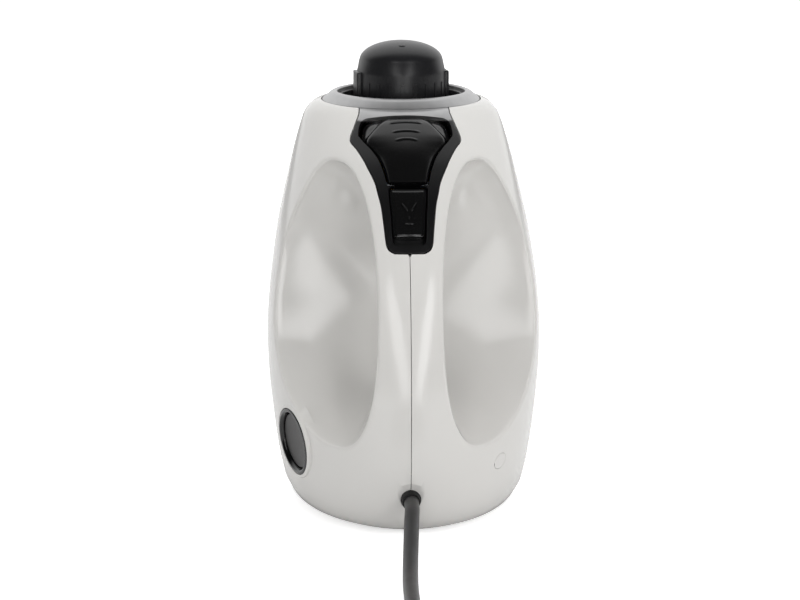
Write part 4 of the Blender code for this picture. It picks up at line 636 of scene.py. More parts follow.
# Drop and half width as shares of each plate's own height and half width
frameShares = (
    (0.000, 0.815), (0.029, 0.825), (0.1175, 0.910), (0.2095, 0.996), (0.228, 1.000),
    (0.2845, 0.885), (0.361, 0.755), (0.404, 0.700), (0.463, 0.622), (0.5145, 0.568),
    (0.5655, 0.538), (0.659, 0.482), (0.8126, 0.436), (0.935, 0.402), (0.975, 0.360),
    (1.000, 0.255),
)
padShares = (
    (0.000, 0.700), (0.030, 0.810), (0.080, 0.915), (0.190, 0.975), (0.290, 1.000),
    (0.375, 0.915), (0.490, 0.745), (0.625, 0.600), (0.820, 0.490), (1.000, 0.430),
)
openingShares = (
    (0.000, 0.800), (0.030, 0.880), (0.080, 0.940), (0.190, 0.985), (0.290, 1.000),
    (0.375, 0.915), (0.490, 0.745), (0.625, 0.600), (0.820, 0.490), (1.000, 0.430),
)
lockShares = ((0.000, 0.860), (0.030, 0.960), (0.070, 1.000), (0.500, 0.910), (0.930, 0.845),
              (0.970, 0.800), (1.000, 0.700))


def smoothShares(shares, drops):
    # half widths at the given drops, on a curve through the shares that never overshoots
    slopes = [(b[1] - a[1]) / (b[0] - a[0]) for a, b in zip(shares, shares[1:])]
    bends = [slopes[0]]
    for before, after in zip(slopes, slopes[1:]):
        bends.append(2 * before * after / (before + after) if before * after > 0 else 0.0)
    bends.append(slopes[-1])
    result = []
    for drop in drops:
        k = next((i for i in range(len(shares) - 2, -1, -1) if shares[i][0] <= drop), 0)
        (low, first), (high, second) = shares[k], shares[k + 1]
        span = high - low
        t = (drop - low) / span
        result.append(hermite(t, first, bends[k] * span, second, bends[k + 1] * span))
    return result


def backPlate(name, top, bottom, halfWidth, shares, outer, inner, grow=0.0, rows=60, columns=32,
              reachIn=0.0, arch=0.0):
    height = top - bottom
    drops = sorted({k / rows for k in range(rows + 1)} | {share for share, _ in shares})
    halves = smoothShares(shares, drops)
    lines = [[], []]
    for index, (drop, half) in enumerate(zip(drops, halves)):
        level = top - drop * height + grow * (1 - 2 * drop)
        bow = arch * max(0.0, 1 - drop * 3)
        sink = [level - bow * (2 * k / columns - 1) ** 2 for k in range(columns + 1)] if bow else [level]
        places = [bodyShare(low) if low < body["top"] else 1.0 for low in sink]
        for face, depth in enumerate((outer, inner)):
            line = []
            for k in range(columns + 1):
                across = 2 * k / columns - 1
                v = places[k % len(places)]
                u = onBack(across * (half * halfWidth + grow), v)
                point = bodyPoint(u, v) - depth(drop, across) * bodyNormal(u, v)
                if index == 0:
                    point = point + Vector((0, reachIn, 0))
                line.append(point)
            lines[face].append(line)
    points = [point for face in lines for line in face for point in line]
    across = columns + 1
    total = across * len(drops)
    faces = []
    for row in range(len(drops) - 1):
        for k in range(columns):
            a = row * across + k
            faces.append((a, a + 1, a + across + 1, a + across))
            faces.append((total + a, total + a + across, total + a + across + 1, total + a + 1))
        for k in (0, columns):
            a = row * across + k
            faces.append((a, a + across, total + a + across, total + a))
    for start in (0, total - across):
        for k in range(columns):
            a = start + k
            faces.append((a, a + 1, total + a + 1, total + a))
    return newObject(name, meshFrom(name, points, faces))


def flat(depth):
    return lambda drop, across: depth


# Shell halves

# Where the mesh lines lie between the body's edge and a scoop's rim, and down a scoop's wall
ringShares = (1.0, 0.9, 0.78, 0.66, 0.54, 0.43, 0.33, 0.24, 0.16, 0.09, 0.04, 0.0)
wallShares = (0.0, 0.04, 0.09, 0.15, 0.22, 0.30, 0.38, 0.46, 0.54, 0.62, 0.70, 0.78, 0.85, 0.91, 0.96, 1.0)
button = {
    "angle": 1.035, "height": 0.0385, "bezel": 0.0163, "wall": 0.0026, "proud": 0.0006,
    "floor": 0.0016, "dish": 0.0009, "face": 0.0022, "skirt": 0.0016, "depth": 0.0060,
    "recess": 0.0016, "travel": 0.0020, "plunger": 0.0016, "switch": 0.0070, "clip": 0.0020,
    "switchDepth": 0.0100, "lip": 0.0016, "lipProud": 0.0001, "lipDepth": 0.0060,
    "lipInnerRound": 0.0004, "lipOuterRound": 0.0016, "lipSpreadShare": 1.5,
    "bezelInset": 0.0010, "bezelCrestShare": 0.42, "bezelInnerRound": 0.0006, "bezelCrestRound": 0.0007,
    "bezelEdge": 0.0001, "edgeRound": 0.0004,
}
buttonV = bodyShare(button["height"])
buttonPlace = along(bodyNormal(-button["angle"], buttonV), bodyPoint(-button["angle"], buttonV))

screws = {
    "places": ((-0.0920, 0.0330), (0.0489, 0.0200), (-0.0960, 0.1130), (0.0502, 0.1300)),
    "boss": 0.0052, "access": 0.0039, "seat": 0.0050, "bore": 0.0017, "handle": 2,
    "head": 0.0030, "headHeight": 0.0022, "shank": 0.0014, "length": 0.0130, "slot": 0.0009,
    "cover": 0.0030, "coverGap": 0.00018, "headRound": 0.0009, "slotDepth": 0.0011, "slotShare": 0.62,
}
spout = {
    "z": 0.1560, "tip": 0.1180, "outer": 0.0150, "bore": 0.0110, "flange": 0.0190,
    "flangeWall": 0.0022, "root": 0.0500, "jetBase": 0.0600, "jet": 0.0045, "lugs": 3,
    "lugHalf": 0.0030, "lugRise": 0.0016, "lugInset": 0.0060,
    "tipRound": 0.0016, "mouthRound": 0.0006, "lugRound": 0.0004,
}
lead = {
    "radius": 0.0035, "z": 0.0207, "sleeve": 0.0046, "collar": 0.0066, "tip": 0.0042,
    "inner": 0.0200, "outer": 0.0036, "seat": 0.0041, "lip": 0.0016,
    "dimple": 0.0085, "dimpleDepth": 0.0007, "dimpleRound": 0.001, "dimpleRise": 0.0012,
    "edgeRound": 0.0004, "innerRound": 0.0003, "startGap": 0.0004,
    "looseness": 0.0001,
    "coilX": -0.0089, "coilBack": 0.3144, "coilStart": 60.0, "layers": 2, "turns": 4.46,
    "pitch": 0.0076, "rise": 0.0075, "coilInner": 0.0325, "pull": 0.0016, "perTurn": 36,
    "base": 0.0036,
}
feet = {"side": 0.0280, "rear": 0.0700, "front": 0.0420, "radius": 0.0060, "spigot": 0.0022,
        "spigotTop": 0.0036, "lowRound": 0.0004, "highRound": 0.0003}
thumbFrame = {
    "halfWidth": 0.0264, "bottom": 0.1362, "depth": 0.0022, "pocketDepth": 0.0062,
    "collarRim": 0.0326, "well": 0.0318, "rimZ": 0.1992, "skirtZ": 0.1874,
    "flangeDrop": 0.0050, "overlap": 0.0012, "seam": 0.00045, "notch": 0.0008,
    "ringDrop": 0.0001, "ringRound": 0.0004, "ringSlope": 0.0022, "rimDrop": 0.0006, "slopeRound": 0.0014,
    "edgeRound": 0.0005, "pocketFromShare": 0.44, "pocketBlendShare": 0.08,
}
pad = {
    "top": 0.1921, "bottom": 0.1662, "halfWidth": 0.0222, "depth": 0.0028, "dome": 0.0030,
    "topGap": 0.0016, "webHalf": 0.0062, "pinBack": 0.0710, "pinZ": 0.1635, "pin": 0.0015,
    "pinHalf": 0.0104, "ear": 0.0034, "noseZ": 0.1745, "noseHalf": 0.0014, "noseBack": 0.0600,
    "ridgeRise": 0.00040, "ridgeHalf": 0.00055, "ridgeBow": 0.0006, "shoulder": 0.0042, "fall": 0.0012,
    "arch": 0.0016, "cornerX": 0.0090, "cornerZ": 0.1901, "cornerAcross": 0.76, "cornerUp": 0.65,
    "cornerBand": 0.0020, "cornerDrop": 0.0016, "domePower": 2.4, "domeSpanShare": 0.8,
    "domeShiftShare": 0.22, "sideFromShare": 0.78, "sideReachShare": 0.22,
    "ridgePower": 1.5, "ridgeFade": 6,
}
# Height and half length of each raised grip line on the pad
padRidges = ((0.1888, 0.0080), (0.1851, 0.0062), (0.1819, 0.0047))
lock = {
    "top": 0.1640, "bottom": 0.1432, "halfWidth": 0.0088, "depth": 0.0024, "recess": 0.0016,
    "travel": 0.0030, "under": 0.0009, "rimRise": 0.0004, "lip": 0.0002,
    "markRise": 0.0003, "mark": 0.00042, "sideFromShare": 0.80, "sideReachShare": 0.20,
    "endFromShare": 0.86, "endReachShare": 0.14, "lipShare": 0.93, "lipReachShare": 0.05,
    "markEndShare": 0.7,
}
# Ends of each raised stroke on the lock: across and up
lockMarks = (((-0.0030, 0.1574), (-0.0006, 0.1548)), ((0.0036, 0.1576), (0.0014, 0.1546)),
             ((0.0, 0.1519), (0.0002, 0.1515)), ((-0.0016, 0.1492), (0.0018, 0.1490)))


def skinX(back, height):
    _, width, rear, front, widest = bodyRow(bodyShare(height))
    reach = (back - widest) / (rear - widest if back > widest else front + widest)
    return width * math.sqrt(max(0.0, 1 - reach * reach))


def makeShells(material):
    outer = skinSolid("outerSkin", body["rows"], body["sideColumns"], body["frontColumns"],
                      ringShares, wallShares, body["rimRound"])
    inner = skinSolid("innerSkin", 16, 9, 8, (1.0, 0.66, 0.33, 0.0), (0.0, 0.25, 0.5, 0.75, 1.0), 0.0)
    work = bmesh.new()
    work.from_mesh(inner)
    bmesh.ops.triangulate(work, faces=[f for f in work.faces if len(f.verts) > 4])
    work.normal_update()
    moves = [(v, v.co - v.normal * body["wall"]) for v in work.verts]
    for vertex, place in moves:
        vertex.co = place
    work.to_mesh(inner)
    work.free()
    hollow = newObject("hollow", inner)
    back = along((0, -1, 0), (0, 0, lead["z"]))
    front = along((0, 1, 0), (0, 0, spout["z"]))
    over, gap = common["overrun"], common["gap"]
    seam = thumbFrame["seam"]
    skinBack = -bodyPoint(0, bodyShare(lead["z"])).y
    notchV = bodyShare(thumbFrame["bottom"] - thumbFrame["notch"])
    holes = [
        backPlate("frameHole", body["top"], thumbFrame["bottom"], thumbFrame["halfWidth"], frameShares,
                  flat(-over / 2), flat(over), seam, 60, 24, over),
        rod("collarHole", body["neck"] + seam / 2, body["top"] - over, body["top"] + over, 128),
        rod("leadHole", lead["sleeve"] + gap, body["rear"] - over * 2, body["rear"] + over, 48, back),
        turned("leadDimple", ((0, skinBack - lead["dimpleDepth"]),
                              (lead["sleeve"] + gap, skinBack - lead["dimpleDepth"],
                               lead["dimpleRound"]),
                              (lead["dimple"], skinBack + lead["dimpleRise"]),
                              (lead["dimple"], skinBack + over),
                              (0, skinBack + over)), 64, False, back),
        rod("spoutHole", spout["outer"] + gap, spout["root"] - over, body["front"] + over, 96, front),
        rod("bezelHole", button["bezel"] + gap, -over * 2, over, 96, buttonPlace),
        rod("seamNotch", thumbFrame["notch"], -thumbFrame["notch"] * 2, over, 24,
            along(bodyNormal(0, notchV), bodyPoint(0, notchV))),
    ]
    for x in (-feet["side"], feet["side"]):
        for y in (-feet["rear"], feet["front"]):
            holes.append(rod("footHole", feet["spigot"] + gap, -over, over, 16,
                             along((0, 0, 1), (x, y, 0))))
    bosses, bores = [], []
    for k, (y, z) in enumerate(screws["places"]):
        place = along((1, 0, 0), (0, y, z))
        boss = screws["boss"]
        reach = min(skinX(-y + i * boss, z + j * boss) for i in (-1, 1) for j in (-1, 1))
        reach -= body["wall"] / 3
        if k == screws["handle"]:
            reach = scoop["handleHalf"] - body["wall"] / 2
        bosses.append(rod("boss", boss, -reach, reach, 24, place))
        bores.append(rod("access", screws["access"], screws["seat"], body["halfWidth"] * 2, 48, place))
        bores.append(rod("bore", screws["bore"], -screws["length"], screws["seat"] * 2, 16, place))
    inside = button["bezel"] + gap
    lip = turned("buttonLip", (
        (inside - common["slide"], -button["lipDepth"]),
        (inside - common["slide"], button["lipProud"], button["lipInnerRound"]),
        (inside + button["lip"], button["lipProud"], button["lipOuterRound"]),
        (inside + button["lip"] * button["lipSpreadShare"], -button["lipDepth"])), 96, True, buttonPlace)
    span = 2 * (body["rear"] + body["halfWidth"])
    half = body["seam"] / 2
    shells = []
    for name, side in (("leftShellHalf", -1), ("rightShellHalf", 1)):
        shell = newObject(name, outer.copy())
        cut(shell, hollow)
        join(shell, lip, *bosses)
        cut(shell, *bores)
        cut(shell, *holes)
        low = (-span, -span, -span) if side > 0 else (-half, -span, -span)
        high = (half, span, span) if side > 0 else (span, span, span)
        seamBlock = block("seamBlock", low, high)
        cut(shell, seamBlock)
        settle(shell, 0.0, [seamBlock])
        node = "shell_right" if side > 0 else "shell_left"
        finishPiece(shell, material, "body", "white_abs", node)
        shells.append(shell)
    solid = newObject("solid", outer)
    for k, (y, z) in enumerate(screws["places"]):
        place = along((1, 0, 0), (0, y, z))
        reach = scoop["handleHalf"] if k == screws["handle"] else skinX(-y, z)
        cover = rod("screwCover%d" % (k + 1), screws["access"] - screws["coverGap"],
                    reach - screws["cover"], body["halfWidth"] * 2, 64, place)
        combine(cover, [solid], "INTERSECT")
        settle(cover, 0.0)
        finishPiece(cover, material, "body", "white_abs")
    for helper in [hollow, solid, lip] + holes + bosses + bores:
        bpy.data.objects.remove(helper, do_unlink=True)
    print("shell halves:", [len(shell.data.polygons) for shell in shells])
    return shells


# Collar ring and thumb frame

def makeCollar(paint, faded):
    neck = body["neck"] - common["gap"]
    under = body["top"] - thumbFrame["flangeDrop"]
    depth = thumbFrame["depth"]
    rim, well, edge = thumbFrame["collarRim"], thumbFrame["well"], thumbFrame["edgeRound"]
    shoulder = thumbFrame["rimZ"] - thumbFrame["rimDrop"]
    collar = turned("collarRing", (
        (neck, body["top"] - thumbFrame["ringDrop"], thumbFrame["ringRound"]),
        (rim + thumbFrame["ringSlope"], shoulder, thumbFrame["slopeRound"]),
        (rim, thumbFrame["rimZ"], edge), (well, shoulder, edge), (well, thumbFrame["skirtZ"]),
        (neck - depth, thumbFrame["skirtZ"]), (neck - depth, under), (neck, under)), 160)
    finishPiece(collar, paint, "body", "silver_paint", "collar_frame")

    def backDepth(drop, across):
        blend = clampShare((drop - thumbFrame["pocketFromShare"]) / thumbFrame["pocketBlendShare"])
        return depth + (thumbFrame["pocketDepth"] - depth) * blend

    plate = backPlate("thumbFrame", body["top"], thumbFrame["bottom"], thumbFrame["halfWidth"],
                      frameShares, flat(0.0), backDepth, 0.0, 90, 40, thumbFrame["overlap"])
    settle(plate, edge, (), 3, 50.0)
    above = flat(-common["overrun"] / 2)
    opening = backPlate("padOpening", pad["top"] + pad["topGap"] / 2, pad["bottom"] - common["slide"] * 3,
                        pad["halfWidth"] + common["slide"], openingShares, above,
                        flat(common["overrun"]), 0.0, 60, 32, 0.0, pad["arch"])
    pocket = backPlate("lockPocket", lock["top"] + common["slide"],
                       lock["bottom"] - lock["travel"] - common["slide"],
                       lock["halfWidth"] + common["slide"], lockShares, above,
                       flat(lock["recess"] + lock["depth"] + lock["under"]), 0.0, 50, 24)
    cut(plate, opening, pocket)
    settle(plate, 0.0, [opening, pocket])
    finishPiece(plate, faded, "body", "silver_paint", "collar_frame")
    print("collar and thumb frame")


# Trigger pad

def makeTrigger(material):
    height = pad["top"] - pad["topGap"] / 2 - pad["bottom"]
    topZ = pad["top"] - pad["topGap"] / 2

    def face(drop, across):
        level = topZ - drop * height
        lift = math.sin(math.pi * min(1.0, drop * pad["domeSpanShare"] + pad["domeShiftShare"]))
        bulge = pad["dome"] * (1 - abs(across) ** pad["domePower"]) * lift
        topEdge = max(0.0, 1 - drop * height / pad["shoulder"])
        sideEdge = max(0.0, (abs(across) - pad["sideFromShare"]) / pad["sideReachShare"])
        depth = -bulge + pad["fall"] * (topEdge ** 2 + sideEdge ** 2)
        half = smoothShares(padShares, [drop])[0] * pad["halfWidth"]
        past = ((abs(across * half) - pad["cornerX"]) * pad["cornerUp"]
                + (level - pad["cornerZ"]) * pad["cornerAcross"])
        depth += pad["cornerDrop"] * easeShare(clampShare(past / pad["cornerBand"]))
        for centre, reach in padRidges:
            inside = abs(across * half) / reach
            near = abs(level - centre + pad["ridgeBow"] * inside * inside) / pad["ridgeHalf"]
            if near < 1 and inside < 1:
                fade = min(1.0, (1 - inside) * pad["ridgeFade"])
                depth -= pad["ridgeRise"] * (1 - near * near) ** pad["ridgePower"] * fade
        return depth

    piece = backPlate("triggerPad", topZ, pad["bottom"], pad["halfWidth"] - common["slide"] / 2,
                      padShares, face, flat(pad["depth"]), 0.0, 150, 56)
    high = ridge(pad["noseZ"] + pad["ear"], pad["depth"] / 2)
    low = ridge(pad["bottom"] + pad["ear"] / 2, pad["depth"] / 2)
    outline = [(-high.y, high.z), (pad["noseBack"], pad["noseZ"] + pad["noseHalf"]),
               (pad["noseBack"], pad["noseZ"] - pad["noseHalf"])]
    outline += [(pad["pinBack"] + pad["ear"] * math.cos(a), pad["pinZ"] + pad["ear"] * math.sin(a))
                for a in (math.radians(k) for k in range(150, 331, 15))]
    outline.append((-low.y, low.z))
    count = len(outline)
    points = [Vector((side * pad["webHalf"], -y, z)) for side in (-1, 1) for y, z in outline]
    faces = [tuple(range(count)), tuple(range(count, count * 2))]
    faces += [(k, (k + 1) % count, count + (k + 1) % count, count + k) for k in range(count)]
    web = newObject("web", meshFrom("web", points, faces))
    bore = rod("bore", pad["pin"] + common["gap"], -pad["pinHalf"], pad["pinHalf"], 32,
               along((1, 0, 0), (0, -pad["pinBack"], pad["pinZ"])))
    join(piece, web)
    cut(piece, bore)
    settle(piece, 0.0, [web, bore])
    finishPiece(piece, material, "trigger", "black_abs", "trigger", sharp=45.0)
    print("trigger pad")


# Child lock slider

def makeLock(material):
    height = lock["top"] - lock["bottom"]

    def face(drop, across):
        side = max(0.0, (abs(across) - lock["sideFromShare"]) / lock["sideReachShare"])
        ends = max(0.0, (abs(drop - 0.5) * 2 - lock["endFromShare"]) / lock["endReachShare"])
        rim = min(1.0, max(side, ends) * 2.0)
        lip = max(0.0, 1 - abs(drop - lock["lipShare"]) / lock["lipReachShare"]) * (1 - side)
        return lock["recess"] - lock["rimRise"] * (1 - rim) - lock["lip"] * lip

    piece = backPlate("childLockSlider", lock["top"], lock["bottom"], lock["halfWidth"], lockShares,
                      face, flat(lock["recess"] + lock["depth"]), 0.0, 70, 36)
    marks = []
    proud = lock["recess"] - lock["rimRise"] - lock["markRise"]
    for places in lockMarks:
        ends = []
        for x, z in places:
            v = bodyShare(z)
            ends.append(bodyPoint(onBack(x, v), v) - proud * bodyNormal(onBack(x, v), v))
        marks.append(tubeMesh("mark", ends[0], ends[1], lock["mark"]))
    join(piece, *marks)
    settle(piece, 0.0, marks)
    finishPiece(piece, material, "child_lock", "black_abs", "child_lock", sharp=40.0)
    print("child lock")


def tubeMesh(name, start, end, radius, count=12):
    length = (end - start).length
    place = along((end - start).normalized(), start)
    short = radius * lock["markEndShare"]
    profile = ((0, -radius), (short, -short), (radius, 0), (radius, length), (short, length + short),
               (0, length + radius))
    return turned(name, profile, count, False, place)


# Safety cap, its well and what shows between them

cap = {
    "outer": 0.0219, "crease": 0.0206, "top": 0.2237, "creaseZ": 0.2142, "bottom": 0.1905,
    "wall": 0.0024, "lugOuter": 0.0232, "lugTop": 0.2088, "lugHalf": 0.0062, "lugAngle": 8.0,
    "ribs": 22, "ribHalf": 0.00080, "ribRise": 0.00035, "wellWall": 0.0016, "wellFloorZ": 0.1868,
    "wellFloor": 0.0018, "neck": 0.0150, "arrowHalf": 0.0019, "arrowZ": 0.2221, "arrowBack": 0.0118,
    "arrowDepth": 0.0004, "arrowBelow": 0.004, "arrowAbove": 0.01,
    "creaseRise": 0.0004, "creaseStep": 0.0002,
    "lugRound": 0.0006, "shoulderRound": 0.0010, "hemRound": 0.0003, "ribDrop": 0.0045,
    "wellInnerRound": 0.0012, "wellRimRound": 0.0004, "ribLowShare": 0.4, "ribClearance": 3,
    "arrowBackShare": 0.6, "arrowTipShare": 1.1,
}


def makeCap(material):
    dome = cap["top"] - cap["creaseZ"]
    profile = [(0, cap["top"])]
    for k in range(1, 15):
        angle = math.radians(k * 6.0)
        share = math.sin(angle)
        profile.append((cap["crease"] * share, cap["creaseZ"] + dome * math.sqrt(1 - share * share)))
    wall = cap["outer"] - cap["wall"]
    under = cap["creaseZ"] - cap["wall"]
    profile += [(cap["crease"], cap["creaseZ"] + cap["creaseRise"]),
                (cap["crease"] + cap["creaseStep"], cap["creaseZ"]),
                (cap["outer"], cap["lugTop"], cap["shoulderRound"]),
                (cap["outer"], cap["bottom"], cap["hemRound"]), (wall, cap["bottom"]), (wall, under),
                (0, under)]
    knob = turned("capKnob", profile, 144, False)
    extras = []
    low = cap["bottom"] + cap["wall"] * cap["ribLowShare"]
    for k in range(cap["ribs"]):
        angle = math.tau * (k + 0.5) / cap["ribs"]
        if abs(math.cos(angle)) < math.cos(math.radians(cap["lugAngle"] * cap["ribClearance"])):
            extras.append(block("rib", (wall + cap["wall"] / 2, -cap["ribHalf"], low),
                                (cap["outer"] + cap["ribRise"], cap["ribHalf"],
                                 cap["lugTop"] - cap["ribDrop"]),
                                Matrix.Rotation(angle, 4, "Z")))
    for side in (0, 180):
        lug = block("lug", (wall + cap["wall"] / 2, -cap["lugHalf"], cap["bottom"]),
                    (cap["lugOuter"], cap["lugHalf"], cap["lugTop"]),
                    Matrix.Rotation(math.radians(side + cap["lugAngle"]), 4, "Z"))
        settle(lug, cap["lugRound"], (), 3)
        extras.append(lug)
    join(knob, *extras)
    size, back = cap["arrowHalf"], cap["arrowBack"]
    base = -back + size * cap["arrowBackShare"]
    corners = ((-size, base), (size, base), (0, -back - size * cap["arrowTipShare"]))
    levels = (cap["arrowZ"] - cap["arrowBelow"], cap["arrowZ"] + cap["arrowAbove"])
    points = [Vector((x, y, z)) for z in levels for x, y in corners]
    arrow = newObject("arrow", meshFrom("arrow", points, [(0, 1, 2), (3, 4, 5), (0, 1, 4, 3), (1, 2, 5, 4),
                                                         (2, 0, 3, 5)]))
    floor = newObject("floor", knob.data.copy())
    floor.location.z = -cap["arrowDepth"]
    cut(arrow, floor)
    cut(knob, arrow)
    settle(knob, 0.0, extras + [arrow, floor])
    finishPiece(knob, material, "cap_knob", "satin_black", "cap_knob", sharp=30.0)
    well = thumbFrame["well"] - common["gap"]
    neck = cap["neck"] + common["gap"]
    shape = ((well, thumbFrame["rimZ"] - cap["wall"]), (well, cap["wellFloorZ"]), (neck, cap["wellFloorZ"]),
             (neck, cap["wellFloorZ"] + cap["wellFloor"]),
             (well - cap["wellWall"], cap["wellFloorZ"] + cap["wellFloor"], cap["wellInnerRound"]),
             (well - cap["wellWall"], thumbFrame["rimZ"] - cap["wall"], cap["wellRimRound"]))
    wellPiece = turned("capWell", shape, 128)
    finishPiece(wellPiece, material, "body", "satin_black", "cap_well")
    print("cap and well")


# Power button in its bezel

def makeButton(bezelLook, faceLook):
    inner = button["bezel"] - button["wall"]
    top = -button["recess"]
    face = inner - common["slide"] / 2
    skirt = face - button["skirt"]
    bottom = top - button["depth"]
    floorTop = bottom - button["travel"] - common["gap"]
    floorLow = floorTop - button["floor"]
    hole = button["plunger"] + common["gap"]
    bezel = turned("buttonBezel", (
        (inner, -button["bezelInset"], button["bezelInnerRound"]),
        (inner + button["wall"] * button["bezelCrestShare"], button["proud"], button["bezelCrestRound"]),
        (button["bezel"], button["bezelEdge"], button["edgeRound"]), (button["bezel"], floorLow),
        (hole, floorLow), (hole, floorTop), (inner, floorTop)), 128, True, buttonPlace)
    clips = []
    for side in (-1, 1):
        near = button["switch"] + common["gap"]
        left, right = sorted((side * near, side * (near + button["clip"])))
        low = (left, -button["switch"] / 2, floorLow - common["gap"] - button["switchDepth"])
        high = (right, button["switch"] / 2, floorLow + button["floor"] / 2)
        clips.append(block("clip", low, high, buttonPlace))
    join(bezel, *clips)
    settle(bezel, 0.0, clips)
    finishPiece(bezel, bezelLook, "body", "black_abs", "button_bezel")
    profile = [(0, top - button["dish"])]
    for k in range(1, 9):
        share = k / 9
        profile.append((face * share, top - button["dish"] * (1 - share * share)))
    under = top - button["face"]
    profile += [(face, top, button["edgeRound"]), (face, bottom), (skirt, bottom), (skirt, under),
                (0, under)]
    disc = turned("powerButton", profile, 128, False, buttonPlace)
    finishPiece(disc, faceLook, "power_button", "grey_plastic", "power_button")
    print("power button")


# Steam nozzle

def makeSpout(material):
    front = along((0, 1, 0), (0, 0, spout["z"]))
    seat = spout["jetBase"] + spout["flangeWall"] * 2
    bore = spout["jet"] + common["gap"]
    wall = ((spout["bore"], spout["root"]), (spout["flange"], spout["root"]),
            (spout["flange"], spout["root"] + spout["flangeWall"]),
            (spout["outer"], spout["root"] + spout["flangeWall"]),
            (spout["outer"], spout["tip"], spout["tipRound"]),
            (spout["bore"], spout["tip"], spout["mouthRound"]),
            (spout["bore"], seat), (bore, seat), (bore, spout["jetBase"]),
            (spout["bore"], spout["jetBase"]))
    piece = turned("nozzleSpout", wall, 96, True, front)
    lugs = []
    start = spout["tip"] - spout["lugInset"] - spout["lugHalf"]
    for k in range(spout["lugs"]):
        lug = block("lug", (spout["outer"] - spout["lugRise"], -spout["lugHalf"], start),
                    (spout["outer"] + spout["lugRise"], spout["lugHalf"], start + spout["lugHalf"]),
                    front @ Matrix.Rotation(math.tau * k / spout["lugs"], 4, "Z"))
        settle(lug, spout["lugRound"])
        lugs.append(lug)
    join(piece, *lugs)
    settle(piece, 0.0, lugs)
    finishPiece(piece, material, "body", "satin_black", "nozzle_spout")
    print("nozzle")


# Rubber feet and shell screws

def makeFeet(material):
    k = 0
    for y in (-feet["rear"], feet["front"]):
        for x in (-feet["side"], feet["side"]):
            k += 1
            top = body["base"] - common["gap"]
            foot = turned("rubberFoot%d" % k, (
                (0, 0), (feet["radius"], 0, feet["lowRound"]), (feet["radius"], top, feet["highRound"]),
                (feet["spigot"], top), (feet["spigot"], feet["spigotTop"]), (0, feet["spigotTop"])),
                48, False, along((0, 0, 1), (x, y, 0)))
            finishPiece(foot, material, "body", "black_rubber", "foot_%d" % k)
    print("feet")


def makeScrews(material):
    seat = screws["seat"] + common["gap"]
    top = seat + screws["headHeight"]
    arm = screws["head"] * screws["slotShare"]
    for k, (y, z) in enumerate(screws["places"]):
        place = along((1, 0, 0), (0, y, z))
        screw = turned("shellScrew%d" % (k + 1), (
            (0, top), (screws["head"], top, screws["headRound"]), (screws["head"], seat),
            (screws["shank"], seat), (screws["shank"], top - screws["length"]),
            (0, top - screws["length"])), 40, False, place)
        slots = []
        for quarter in (0, 90):
            spin = place @ Matrix.Rotation(math.radians(quarter + 20), 4, "Z")
            slots.append(block("slot", (-arm, -screws["slot"] / 2, top - screws["slotDepth"]),
                               (arm, screws["slot"] / 2, top + screws["slot"]), spin))
        cut(screw, *slots)
        settle(screw, 0.0, slots)
        finishPiece(screw, material, "body", "steel", "shell_screw_%d" % (k + 1))
    print("shell screws")


# Mains lead: the route repeats the solids' own points

leadRoute = (
    (0.0, -0.0720, 0.0207), (0.0, -0.0900, 0.0207), (0.0, -0.1100, 0.0207),
    (0.0, -0.1260, 0.0204), (-0.0006, -0.1360, 0.0190), (-0.0014, -0.1480, 0.0145),
    (-0.0022, -0.1600, 0.0090), (-0.0029, -0.1730, 0.0050), (-0.0034, -0.1870, 0.0037),
    (-0.0036, -0.2020, 0.0036), (-0.0035, -0.2180, 0.0036), (-0.0023, -0.2320, 0.0036),
    (0.0018, -0.2425, 0.0036), (0.0080, -0.2508, 0.0036),
)


def coilPoints():
    points = []
    steps = round(lead["turns"] * lead["perTurn"])
    climb = lead["perTurn"] // 2
    outer = lead["coilInner"] + lead["pitch"] * lead["turns"]
    angle = math.radians(lead["coilStart"])
    turn = math.tau / lead["perTurn"]
    for layer in range(lead["layers"]):
        inward = layer % 2 == 0
        for k in range(steps + (1 if layer == 0 else 0)):
            share = k / steps
            radius = outer - (outer - lead["coilInner"]) * (share if inward else 1 - share)
            points.append((radius, angle, lead["base"] + layer * lead["rise"]))
            angle -= turn
        if layer < lead["layers"] - 1:
            for k in range(1, climb):
                t = k / climb
                rise = lead["rise"] * easeShare(t)
                radius = lead["coilInner"] - lead["pull"] * math.sin(math.pi * t)
                points.append((radius, angle, lead["base"] + layer * lead["rise"] + rise))
                angle -= turn
    return [Vector((lead["coilX"] + r * math.cos(a), -lead["coilBack"] + r * math.sin(a), z))
            for r, a, z in points]


